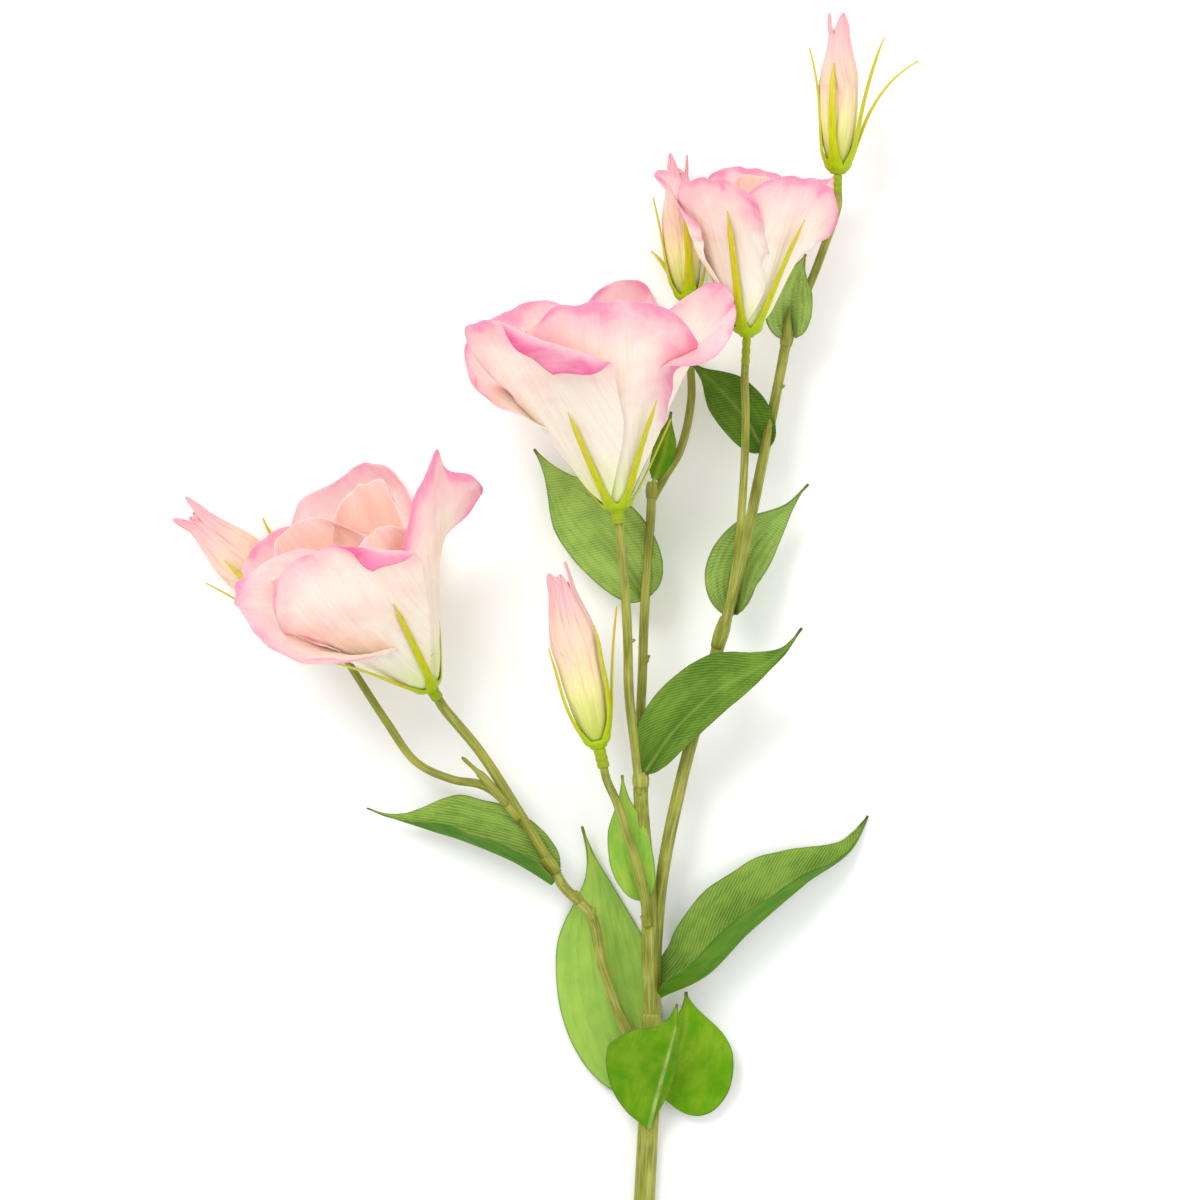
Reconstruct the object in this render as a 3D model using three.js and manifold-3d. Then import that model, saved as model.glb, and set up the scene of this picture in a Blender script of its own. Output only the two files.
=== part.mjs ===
// A lisianthus spray, cut and laid down: three open blooms, four buds and twelve leaves on a stem that
// forks into three branches. It is an artificial spray: its petals and leaves are cut cloth, and its
// stems and calyxes are moulded. Millimetres, +Z up. The origin lies on the surface that the spray rests
// on, under the middle of it. +Y runs from the cut end of the stem to the top bud.

import * as THREE from "three";
import { mergeVertices } from "three/addons/utils/BufferGeometryUtils.js";
import Module from "manifold-3d";

const wasm = await Module();
wasm.setup();

// ---------------------------------------------------------------- driving dimensions

const GAP = 0.3; // clearance between two pieces that touch
const FLOOR = 0; // height of the surface that the spray lies on
const PRESSED = 0.43; // height of the middle of a blade that lies flat on the surface, by its thickness
const PETAL_THICK = 0.7;
const LEAF_THICK = 0.8;
const STEM_SIDES = 6;

// Where every petal starts: on this ring, inside the plug that holds the roots together.
const ROOT = { radius: 0.8, height: 0.8, lean: 80, bend: 5.5 };
const PLUG = { bottom: 0.5, middle: 1.9, top: 4.4, wide: 2.9, narrow: 1.7 };
const PETAL = {
  foot: 1.7, // least half width, at the root
  widest: 0.78, // share of the length where it is widest
  swell: 1.25,
  round: 3.2, // how late the tip rounds off towards the corners
  under: 0.4, // how much an edge flattens where it lies under the next petal
};
const CUP = { reach: 6, gap: 0.85, rise: 0.35, wall: 0.95, rim: 0.6, foot: 1.2, stops: [1.3, 3.2, 6] };
const SEPAL = { width: 3.8, thick: 1.0, thin: 0.6, tip: 0.14, taper: 1.4, lift: 2.6, start: 2.6 };
const PISTIL = { foot: 1.9, waist: 1.7, style: 0.9, top: 24, lobe: 1.6, lobeOut: 1.2, turn: 35 };
const STAMEN = { count: 5, from: [1.0, 1.5], to: [3.8, 10.5], radius: 0.5, anther: 1.0, turn: 20 };
const BUD = {
  sides: 10, shut: 0.972, seams: 3, seam: 0.2, twist: 70, fullness: 0.16, tipStart: 0.8, tipWide: 0.8,
  tipEnd: 0.8,
};
const LEAF = { root: 1.3, tip: 0.4, lobe: 0.4 };

const COLOURS = {
  petal: { color: 0xf7d3cf, roughness: 0.75 },
  bud: { color: 0xf3bdb4, roughness: 0.75 },
  calyx: { color: 0xa9c61c, roughness: 0.45 },
  stem: { color: 0x9c9a4e, roughness: 0.5 },
  leaf: { color: 0x57902c, roughness: 0.7 },
  pistil: { color: 0xd9cf5a, roughness: 0.6 },
};

// Petals, from the one at the right and on round by the front (90 degrees faces a viewer above).
// at: degrees round the bloom. length and width: along and half across. flare: lean from the axis at the
// tip. from: share of the length where the flare starts. cup: curvature across the tip, per mm. lay: how
// far each edge stands over the next petal, or under it where negative. round: how far back each corner
// lies. inset: how many degrees closer to the axis. waves: height, number and phase. curls: rolled margins.
// pulls: places drawn aside, each [u, v, reach, right, front, along].
const OUTER = {
  length: 72, width: 27, flare: 45, from: 0.3, cup: 0.012, lay: [1, -1], round: [0.22, 0.22], inset: 0,
  waves: [1.2, 2.2, 0], curls: [], pulls: [],
};
const INNER = {
  length: 56, width: 18, flare: 8, from: 0.5, cup: 0.03, lay: [0.5, -0.5], round: [0.2, 0.2], inset: 9,
  waves: [1.6, 2.6, 0], curls: [], pulls: [],
};

const BLOOMS = {
  left: {
    base: [-37.6, 4.6, 23], heading: 122, rise: 20, open: 30, neck: 3.2, neckRadius: 1.9,
    petals: [
      { at: 22, length: 79, width: 26, flare: 16, from: 0.5, waves: [0.5, 2.0, 0.5],
        pulls: [
          [-1, 0.9, 0.5, 16, 5, -4], [1, 1, 0.8, -12, -9, -17], [-0.2, 1, 0.25, 8, 0, 6],
          [-0.6, 1, 0.3, -2, 0, -4], [1, 0.6, 0.5, -5, 0, 3],
        ] },
      { at: 108, length: 82, width: 28, flare: 10, from: 0.4, lay: [1, 1], round: [0.05, 0.3],
        waves: [0.5, 2.1, 1.0], curls: [{ toward: -46, at: 61.5, radius: 1.4, turn: 165 }],
        pulls: [[-0.8, 1, 0.6, 4, 0, 0]] },
      { at: 172, length: 69, width: 29, flare: 40, cup: 0.006, lay: [-1, 1], waves: [0.8, 2.4, 2.1],
        pulls: [[-0.8, 0.9, 0.6, -1, 4, -12], [1, 0.75, 0.8, 8, 17, 23]] },
      { at: 226, length: 76, width: 27, flare: 30, lay: [-1, -1], waves: [1.0, 2.4, 3.1],
        pulls: [[-1, 0.8, 0.7, 3, 12, -2], [1, 1, 0.6, 4, 3, 0]] },
      { at: 284, length: 75, width: 26, flare: 38, round: [0.08, 0.1], waves: [1.2, 2.7, 0.4],
        pulls: [[0.5, 1, 0.75, 0, -19, -2], [-0.5, 1, 0.5, -2, 0, 3]] },
    ],
    inner: [
      { at: 60, length: 66, flare: 0, waves: [1.8, 2.6, 0.3] },
      { at: 150, length: 69, width: 22, flare: 16, waves: [1.5, 2.4, 2.3] },
      { at: 240, length: 71, width: 22, flare: 14, waves: [1.7, 2.8, 1.3] },
      { at: 318, length: 72, width: 23, flare: 14, waves: [1.6, 2.5, 3.3] },
    ],
    sepals: [
      { at: 79, length: 50 }, { at: 142, length: 42, away: 5 }, { at: 215, length: 30 },
      { at: 285, length: 30 }, { at: 342, length: 26 },
    ],
  },
  middle: {
    base: [24.1, 63.7, 41], heading: 97, rise: 6, open: 31, neck: 3.6, neckRadius: 2.0,
    petals: [
      { at: 0, length: 77, width: 25, flare: 46, cup: 0.004, waves: [0.5, 2.0, 0.5],
        pulls: [[-1, 0.9, 0.8, -6, 12, 15], [1, 0.95, 0.35, 8, 6, -3], [1, 0.65, 0.5, 0, 0, 7]] },
      { at: 82, length: 81, width: 27, flare: 26, cup: 0.018, waves: [0.5, 2.2, 1.5],
        pulls: [[-1, 0.93, 0.4, 7, 0, 0], [1, 0.95, 0.6, -3, -3, 7], [-1, 0.75, 0.35, -5.5, 0, 0]] },
      { at: 133, length: 84, width: 29, flare: 38, cup: 0.010, lay: [1, 1], round: [0.04, 0.3],
        waves: [0.5, 2.2, 2.5], curls: [{ toward: -41.7, at: 62.5, radius: 1.6, turn: 165 }],
        pulls: [[-1, 0.95, 0.8, 5, 0, -1], [-1, 0.6, 0.3, -3, 0, 0]] },
      { at: 220, length: 77, width: 28, flare: 31, lay: [-1, 1], waves: [1.0, 2.2, 0.4],
        pulls: [[-0.9, 0.85, 0.5, -9, 2, -3], [0.7, 1, 0.6, 8, 0, 7]] },
      { at: 283, length: 86, width: 21, flare: 38, lay: [-1, -1], round: [0.35, 0.35],
        waves: [0.8, 2.2, 2.4], pulls: [[0, 1, 0.9, 0, -11, 0]] },
    ],
    inner: [
      { at: 30, length: 60, flare: 8, waves: [1.8, 2.6, 0.3] },
      { at: 120, length: 60, flare: 10, waves: [1.5, 2.4, 2.3] },
      { at: 210, length: 68, flare: 12, waves: [1.7, 2.8, 1.3] },
      { at: 300, length: 68, flare: 6, waves: [1.6, 2.5, 3.3] },
    ],
    sepals: [
      { at: 118, length: 43 }, { at: 56, length: 46, away: 4 }, { at: 5, length: 34 },
      { at: 200, length: 30 }, { at: 272, length: 30 },
    ],
  },
  right: {
    base: [67.0, 121.6, 35], heading: 87, rise: 6, open: 23, neck: 9, neckRadius: 1.25,
    petals: [
      { at: -30, length: 60, width: 19, flare: 34, waves: [0.8, 2.0, 0.5],
        pulls: [[0.6, 1, 0.9, -1, -14, 0]] },
      { at: 58, length: 60, width: 22, flare: 28, cup: 0.024, lay: [1, -0.7], waves: [0.5, 2.2, 1.5],
        pulls: [[-1, 0.92, 0.5, 3, 0, -4]] },
      { at: 126, length: 58, width: 22, flare: 30, cup: 0.018, lay: [0.8, 1], round: [0.12, 0.22],
        waves: [0.5, 2.2, 2.5], pulls: [[-1, 0.75, 0.6, -7, 0, 0]] },
      { at: 198, length: 58, width: 21, flare: 44, lay: [-1, 1], waves: [0.8, 2.2, 0.4],
        pulls: [[-1, 0.55, 0.5, -8, 0, 0], [0.2, 1, 0.7, -2.5, 0, 3.5]] },
      { at: 264, length: 60, width: 22, flare: 26, lay: [-1, -1], waves: [1.0, 2.2, 2.4] },
    ],
    inner: [
      { at: 50, length: 48, width: 14, flare: 6, waves: [1.4, 2.6, 0.3] },
      { at: 160, length: 50, width: 14, flare: 8, waves: [1.3, 2.4, 2.3] },
      { at: 270, length: 54, width: 14, flare: 4, waves: [1.4, 2.8, 1.3] },
    ],
    sepals: [
      { at: 112, length: 47, away: 2 }, { at: 50, length: 46, away: 4 }, { at: 175, length: 34 },
      { at: 235, length: 32 }, { at: 305, length: 32, away: 3 },
    ],
  },
};

// Buds: length and greatest half width of the closed petals, how full the upper half is, and the petal
// tips that part. A sepal with lean lists its lean from the bud's axis at the root and at the tip; one
// without lies on the bud.
const BUD_PROFILE = [
  [0.16, 0.012], [0.42, 0.03], [0.62, 0.09], [0.82, 0.2], [0.96, 0.33],
  [1, 0.47], [0.91, 0.63], [0.66, 0.77], [0.5, 0.86], [0.42, 0.92],
];
const BUDS = {
  top: {
    base: [97.2, 175.7, 31], heading: 89.5, rise: 2, length: 49, radius: 6.5, full: 0,
    neck: 6, neckRadius: 1.3,
    tips: [
      { at: 160, length: 7, lean: 7 }, { at: 330, length: 6, lean: -4 }, { at: 250, length: 4, lean: 2 },
    ],
    sepals: [
      { at: 108, length: 36 }, { at: 170, length: 42, lean: [-2, 18] },
      { at: 30, length: 47, lean: [8, 26] }, { at: 340, length: 48, lean: [12, 68] },
      { at: 262, length: 34 },
    ],
  },
  upper: {
    base: [47.9, 134.4, 8.5], heading: 95, rise: 0, length: 45, radius: 6.2, full: 0.4,
    neck: 4, neckRadius: 1.4,
    tips: [
      { at: 120, length: 8, lean: 2 }, { at: 20, length: 7, lean: 10 }, { at: 260, length: 5, lean: 4 },
    ],
    sepals: [
      { at: 80, length: 29 }, { at: 172, length: 36, lean: [2, 10] },
      { at: 215, length: 22, lean: [8, 62] }, { at: 10, length: 30 }, { at: 290, length: 28 },
    ],
  },
  lower: {
    base: [18.0, -14.1, 34], heading: 103.3, rise: 3, length: 58, radius: 7.0, full: 1.7,
    neck: 6.5, neckRadius: 1.9,
    tips: [
      { at: 170, length: 5, lean: 2 }, { at: 90, length: 4, lean: 0 }, { at: 10, length: 7, lean: 2 },
    ],
    sepals: [
      { at: 160, length: 36 }, { at: 30, length: 40 }, { at: 345, length: 46, lean: [12, 22] },
      { at: 225, length: 30 }, { at: 285, length: 30 },
    ],
  },
  side: {
    base: [-75.4, 23.4, 9.4], heading: 137.5, rise: 0, length: 59, radius: 8.5, full: 0.6,
    neck: 4, neckRadius: 1.4,
    tips: [
      { at: 20, length: 8, lean: 2 }, { at: 190, length: 6, lean: 10 }, { at: 100, length: 5, lean: 4 },
    ],
    sepals: [
      { at: 112, length: 40 }, { at: 182, length: 41, lean: [8, 16] },
      { at: 336, length: 38, lean: [10, 19] }, { at: 322, length: 44, lean: [11, 30] },
      { at: 270, length: 30 },
    ],
  },
};

// Leaves: the midrib from its root on the stem to the tip. turn: which way the open side of the fold
// faces, 0 up and 90 to the left of the midrib, at the root and at the tip. fold: how far each half
// stands up from flat. width: of the left half and of the right half. taper: how pointed the tip is.
// belly: how far from the root the widest place lies, 0.6 for most.
const LEAVES = {
  left: {
    midrib: [
      [2.5, -60.4, 17], [-9.2, -53.5, 16], [-26.5, -46.3, 13], [-50.0, -39.1, 9],
      [-59.5, -35.8, 7],
    ],
    width: [14, 16], turn: [-58, -52], fold: [54, 50], taper: 0.8,
  },
  base_back: {
    midrib: [
      [33.9, -130.3, 5], [24.5, -107.0, 3.5], [19.5, -80.2, 3], [17.5, -60.0, 4], [12.5, -41.9, 6],
    ],
    width: [15, 18], turn: [180, 180], fold: [4, 10], taper: 0.77,
  },
  centre_small: {
    midrib: [[33.1, -65.5, 22], [29.4, -54.1, 24.5], [27.1, -39.2, 25], [25.8, -24.3, 24]],
    width: [7.5, 7.5], turn: [180, 180], fold: [8, 20],
  },
  right_large: {
    midrib: [
      [38.5, -98.4, 12], [53.9, -91.2, 10], [68.0, -77.2, 9], [87.5, -60.6, 6], [102.4, -50.1, 2],
      [108.5, -38.7, 0.4],
    ],
    width: [20, 21], turn: [61, 50], fold: [58, 46], taper: 0.4,
  },
  centre_right: {
    midrib: [
      [33.4, -23.2, 26], [43.0, -9.5, 27.5], [57.0, 3.5, 29.5], [71.0, 11.5, 30], [79.0, 16.5, 29],
      [85.4, 24.5, 27],
    ],
    width: [13, 8], turn: [10, 10], fold: [22, 16], taper: 0.75,
  },
  base_front: {
    midrib: [
      [34.9, -142.5, 9.2], [37.8, -130.2, 15], [41.1, -117.1, 25], [43.6, -106.7, 31],
      [43.9, -99.7, 32],
    ],
    width: [4.5, 20], turn: [165, 165], fold: [12, 30], belly: 1,
  },
  base_right: {
    midrib: [[38.0, -131.0, 7], [43.0, -121.0, 9], [46.8, -110.5, 11], [47.2, -97.2, 9]],
    width: [21, 10], turn: [180, 180], fold: [6, 8], belly: 0.45,
  },
  middle_back: {
    midrib: [[33.5, 34.5, 19], [25.2, 47.1, 16], [10.2, 64.5, 11], [-3.6, 84.3, 7]],
    width: [12, 15], turn: [0, 0], fold: [12, 10],
  },
  middle_small: {
    midrib: [[36.8, 74.4, 19], [39.5, 82.0, 19], [41.1, 90.4, 18], [42.2, 96.4, 16]],
    width: [4, 4], turn: [180, 180], fold: [20, 20],
  },
  right_upper: {
    midrib: [[73.0, 83.7, 20], [66.4, 94.7, 19], [57.1, 105.4, 17], [48.5, 113.2, 12]],
    width: [8.5, 9.5], turn: [0, 10], fold: [18, 14],
  },
  right_lower: {
    midrib: [
      [63.0, 29.1, 22], [62.8, 42.5, 17], [69.2, 54.5, 14], [80.2, 63.8, 15], [87.8, 72.4, 17],
    ],
    width: [10.5, 10.5], turn: [20, -50], fold: [20, 30], taper: 0.75,
  },
  right_top: {
    midrib: [[82.6, 121.2, 21], [81.6, 128.2, 21], [82.3, 136.8, 21], [87.0, 148.9, 19]],
    width: [9.5, 8], turn: [0, 0], fold: [25, 20],
  },
};

// Stems: points along the middle, with the radius at both ends. A stem that ends in a bloom or a bud names
// it. A short one with a larger radius is the collar of a joint.
const STEMS = {
  main_stem: [
    {
      path: [
        [31.2, -227.7, 3.1], [32.6, -184.1, 3.1], [34.7, -140.4, 5], [35.5, -120.0, 9],
        [35.9, -103.7, 12],
      ],
      radius: [3.6, 3.3],
    },
  ],
  left_branch: [
    {
      path: [
        [35.2, -125.1, 8], [27.5, -110.1, 11], [22.5, -98.3, 13.5], [18.8, -86.2, 15.5],
        [16.5, -74.1, 17], [14.5, -69.7, 17.5], [6.5, -61.7, 18.5], [2.2, -54.3, 19],
        [-8.5, -36.7, 18.5], [-21.4, -16.8, 17.5],
      ],
      to: BLOOMS.left, radius: [1.9, 1.6],
    },
    {
      path: [
        [-8.4, -39.4, 19], [-15.8, -30.8, 18], [-21.5, -27.6, 16.5], [-30.8, -26.0, 15],
        [-42.9, -20.3, 12.5], [-53.0, -6.6, 11], [-62.4, 7.7, 9.6],
      ],
      to: BUDS.side, radius: [1.5, 1.2],
    },
    { path: [[-12.1, -34.7, 19], [-20.1, -25.4, 20], [-27.4, -18.4, 21]], radius: [1.6, 1.1] },
    { path: [[4.2, -57.3, 19], [0.2, -51.7, 19]], radius: [2.2, 2.2] },
    { path: [[11.8, -67.0, 18], [9.2, -63.7, 18]], radius: [2.1, 2.1] },
  ],
  centre_branch: [
    {
      path: [
        [35.9, -106.5, 11], [35.2, -86.1, 16], [34.5, -62.7, 19], [32.3, -39.3, 22],
        [31.8, -24.3, 24],
      ],
      radius: [2.9, 2.4],
    },
    {
      path: [
        [31.8, -30.9, 24], [30.1, -14.2, 27], [28.1, 2.4, 31], [27.6, 20.6, 35], [26.7, 37.1, 38],
      ],
      to: BLOOMS.middle, radius: [1.6, 1.5],
    },
    {
      path: [
        [32.1, -30.9, 23], [31.8, -9.4, 22], [32.5, 7.2, 20.5], [33.3, 30.5, 19.5],
        [35.1, 57.1, 18.5], [35.8, 71.4, 18],
      ],
      radius: [1.6, 1.5],
    },
    {
      path: [
        [35.8, 67.1, 18], [39.8, 74.4, 17.5], [45.2, 83.8, 16], [48.9, 100.5, 12.5],
        [48.3, 120.7, 9],
      ],
      to: BUDS.upper, radius: [1.4, 1.3],
    },
    {
      path: [
        [34.5, -74.3, 20], [33.4, -65.7, 25], [30.7, -53.9, 28.5], [27.4, -43.6, 31],
        [23.8, -32.6, 33],
      ],
      to: BUDS.lower, radius: [1.7, 1.3],
    },
    { path: [[32.1, -28.6, 24], [31.9, -23.3, 24]], radius: [2.8, 2.8] },
    { path: [[35.5, 67.7, 18], [36.0, 73.1, 18]], radius: [2.1, 2.1] },
    { path: [[32.5, 12.5, 20.5], [35.1, 15.5, 21.5]], radius: [1.4, 0.8] },
  ],
  right_branch: [
    {
      path: [
        [36.5, -104.7, 12], [37.2, -79.6, 14], [39.8, -54.5, 16], [45.6, -26.1, 18],
        [50.8, -6.1, 20], [56.5, 13.9, 22], [60.0, 26.5, 24],
      ],
      radius: [2.1, 2.1],
    },
    {
      path: [
        [57.7, 17.2, 23], [60.9, 29.8, 26], [63.8, 47.0, 30], [65.8, 70.2, 32], [66.6, 93.3, 33],
      ],
      to: BLOOMS.right, radius: [1.5, 1.25],
    },
    {
      path: [
        [57.7, 17.2, 23], [61.7, 32.1, 22.5], [66.7, 52.1, 21], [71.2, 73.7, 20],
        [76.7, 100.3, 20], [80.6, 120.9, 21],
      ],
      radius: [1.8, 1.7],
    },
    {
      path: [[80.1, 118.5, 21], [84.4, 129.6, 18], [88.4, 139.0, 18], [92.6, 150.1, 22]],
      to: BUDS.top, radius: [1.5, 1.3],
    },
    { path: [[80.4, 119.5, 22], [81.2, 131.2, 24]], radius: [1.5, 1.0] },
    { path: [[57.3, 17.9, 23], [60.3, 27.8, 24.5]], radius: [2.6, 2.5] },
    { path: [[80.1, 118.2, 21], [81.0, 122.2, 21]], radius: [2.2, 2.2] },
  ],
};

// ---------------------------------------------------------------- small maths

const { degToRad, lerp, smoothstep } = THREE.MathUtils;
const point = (p) => new THREE.Vector3(...p);
const sinD = (a) => Math.sin(degToRad(a));
const cosD = (a) => Math.cos(degToRad(a));

/** Adds up vectors, each given with its length: sum([v, 2], [w, 3]) is 2 v + 3 w. */
function sum(...terms) {
  const total = new THREE.Vector3();
  for (const [vector, length] of terms) total.addScaledVector(vector, length);
  return total;
}

/** Keeps a point from sinking into the surface that the spray lies on. */
function rest(p, least = FLOOR) {
  p.z = Math.max(p.z, least);
  return p;
}

/** The directions of a bloom or bud: its axis, its right-hand side and its front, as seen from above. */
function frameOf({ base, heading, rise }) {
  const axis = new THREE.Vector3(cosD(heading) * cosD(rise), sinD(heading) * cosD(rise), sinD(rise));
  const right = new THREE.Vector3(sinD(heading), -cosD(heading), 0);
  const front = new THREE.Vector3().crossVectors(right, axis);
  return { base: point(base), axis, right, front };
}

/** The outward direction and the sideways direction at an angle round the axis. */
function around({ right, front }, angle) {
  return {
    out: sum([right, cosD(angle)], [front, sinD(angle)]),
    side: sum([right, -sinD(angle)], [front, cosD(angle)]),
  };
}

/** Walks a line that leans from the axis by leanAt(s), and gives radius, height and lean at any s. */
function walk(length, start, leanAt, steps = 48) {
  const step = length / steps;
  const places = [{ radius: start.radius, height: start.height, lean: leanAt(0) }];
  for (let i = 1; i <= steps; i++) {
    const last = places[i - 1];
    const lean = leanAt((i - 0.5) * step);
    places.push({
      radius: last.radius + sinD(lean) * step,
      height: last.height + cosD(lean) * step,
      lean: leanAt(i * step),
    });
  }
  return (s) => {
    const i = THREE.MathUtils.clamp(s / step, 0, steps - 1e-6);
    const a = places[Math.floor(i)];
    const b = places[Math.floor(i) + 1];
    const t = s / step - Math.floor(i);
    const between = (key) => lerp(a[key], b[key], t);
    return { radius: between("radius"), height: between("height"), lean: between("lean") };
  };
}

// ---------------------------------------------------------------- solids

/** The volume inside a closed shell of triangles. It is negative where the faces point inward. */
function volumeInside(positions, faces) {
  const corner = (i) => new THREE.Vector3().fromArray(positions, 3 * faces[i]);
  let total = 0;
  for (let i = 0; i < faces.length; i += 3) {
    total += corner(i).dot(corner(i + 1).cross(corner(i + 2))) / 6;
  }
  return total;
}

/** Turns a closed geometry into a solid, whichever way its faces point. */
function solidOf(geometry) {
  geometry.deleteAttribute("normal");
  geometry.deleteAttribute("uv");
  const merged = mergeVertices(geometry, 1e-4);
  const vertProperties = merged.attributes.position.array;
  const triVerts = new Uint32Array(merged.index.array);
  if (volumeInside(vertProperties, triVerts) < 0) triVerts.reverse();
  return new wasm.Manifold(new wasm.Mesh({ numProp: 3, vertProperties, triVerts }));
}

function join(solids) {
  return solids.reduce((a, b) => a.add(b));
}

/** The faces of the largest shell, without the scraps that a cut leaves and the walls of a hollow. */
function largestShell(positions, faces) {
  const parent = Array.from({ length: positions.length / 3 }, (_, i) => i);
  const shellOf = (vertex) => {
    let i = vertex;
    while (parent[i] !== i) i = parent[i];
    parent[vertex] = i;
    return i;
  };
  for (let i = 0; i < faces.length; i += 3) {
    parent[shellOf(faces[i + 1])] = shellOf(faces[i]);
    parent[shellOf(faces[i + 2])] = shellOf(faces[i]);
  }
  const shells = {};
  for (let i = 0; i < faces.length; i += 3) {
    const shell = shellOf(faces[i]);
    shells[shell] ??= [];
    shells[shell].push(...faces.slice(i, i + 3));
  }
  const size = (shell) => volumeInside(positions, shell);
  return Object.values(shells).reduce((a, b) => (size(a) > size(b) ? a : b));
}

function meshOf(name, solid, colour) {
  const { vertProperties, triVerts } = solid.getMesh();
  const geometry = new THREE.BufferGeometry();
  geometry.setAttribute("position", new THREE.BufferAttribute(vertProperties, 3));
  geometry.setIndex(largestShell(vertProperties, triVerts));
  geometry.computeVertexNormals();
  const mesh = new THREE.Mesh(geometry, new THREE.MeshStandardMaterial({ ...colour, metalness: 0 }));
  mesh.name = name;
  return mesh;
}

function geometryOf(points, faces) {
  const geometry = new THREE.BufferGeometry().setFromPoints(points);
  geometry.setIndex(faces);
  return geometry;
}

/** A closed solid through rings of points, all with as many points, with a flat cap at both ends. */
function loft(rings) {
  const sides = rings[0].length;
  const faces = [];
  for (let j = 0; j + 1 < rings.length; j++) {
    for (let i = 0; i < sides; i++) {
      const a = j * sides + i;
      const b = j * sides + ((i + 1) % sides);
      faces.push(a, b, b + sides, a, b + sides, a + sides);
    }
  }
  const top = (rings.length - 1) * sides;
  for (let i = 1; i + 1 < sides; i++) faces.push(0, i + 1, i, top, top + i, top + i + 1);
  return solidOf(geometryOf(rings.flat(), faces));
}

/** A thin closed solid on both sides of the surface place(u, v): u is -1 to 1, and v is 0 to 1. */
function sheet(place, across, along, thick) {
  const rows = [];
  for (let j = 0; j <= along; j++) {
    rows.push([]);
    for (let i = 0; i <= across; i++) {
      rows[j].push(rest(place((2 * i) / across - 1, j / along), PRESSED * thick));
    }
  }
  const layers = [[], []];
  for (let j = 0; j <= along; j++) {
    for (let i = 0; i <= across; i++) {
      const du = rows[j][Math.min(i + 1, across)].clone().sub(rows[j][Math.max(i - 1, 0)]);
      const dv = rows[Math.min(j + 1, along)][i].clone().sub(rows[Math.max(j - 1, 0)][i]);
      const normal = du.cross(dv).normalize();
      layers[0].push(rest(sum([rows[j][i], 1], [normal, thick / 2])));
      layers[1].push(rest(sum([rows[j][i], 1], [normal, -thick / 2])));
    }
  }
  const wide = across + 1;
  const back = wide * (along + 1);
  const faces = [];
  for (let j = 0; j < along; j++) {
    for (let i = 0; i < across; i++) {
      const [a, b, c, d] = [j * wide + i, j * wide + i + 1, (j + 1) * wide + i + 1, (j + 1) * wide + i];
      faces.push(a, b, c, a, c, d, back + a, back + c, back + b, back + a, back + d, back + c);
    }
  }
  const rim = [];
  for (let i = 0; i < across; i++) rim.push(i);
  for (let j = 0; j < along; j++) rim.push(j * wide + across);
  for (let i = across; i > 0; i--) rim.push(along * wide + i);
  for (let j = along; j > 0; j--) rim.push(j * wide);
  rim.forEach((p, i) => {
    const q = rim[(i + 1) % rim.length];
    faces.push(back + p, back + q, q, back + p, q, p);
  });
  return solidOf(geometryOf([...layers[0], ...layers[1]], faces));
}

// ---------------------------------------------------------------- petals

/** The half width of a petal at a share v of its length. */
function petalWidth(width, v) {
  const share = Math.sin((Math.PI / 2) * Math.min(1, v / PETAL.widest)) ** PETAL.swell;
  return Math.max(PETAL.foot, width * share);
}

/** Rolls what lies beyond a line across the flat petal outward, round a cylinder. */
function curl(p, { toward, at, radius, turn }) {
  const [dx, dy] = [sinD(toward), cosD(toward)];
  const beyond = p.x * dx + p.y * dy - at;
  if (beyond <= 0) return;
  const angle = Math.min(beyond / radius, degToRad(turn));
  const straight = beyond - radius * angle;
  const along = radius * Math.sin(angle) + straight * Math.cos(angle);
  p.x += (along - beyond) * dx;
  p.y += (along - beyond) * dy;
  p.z += radius * (1 - Math.cos(angle)) + straight * Math.sin(angle);
}

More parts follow.
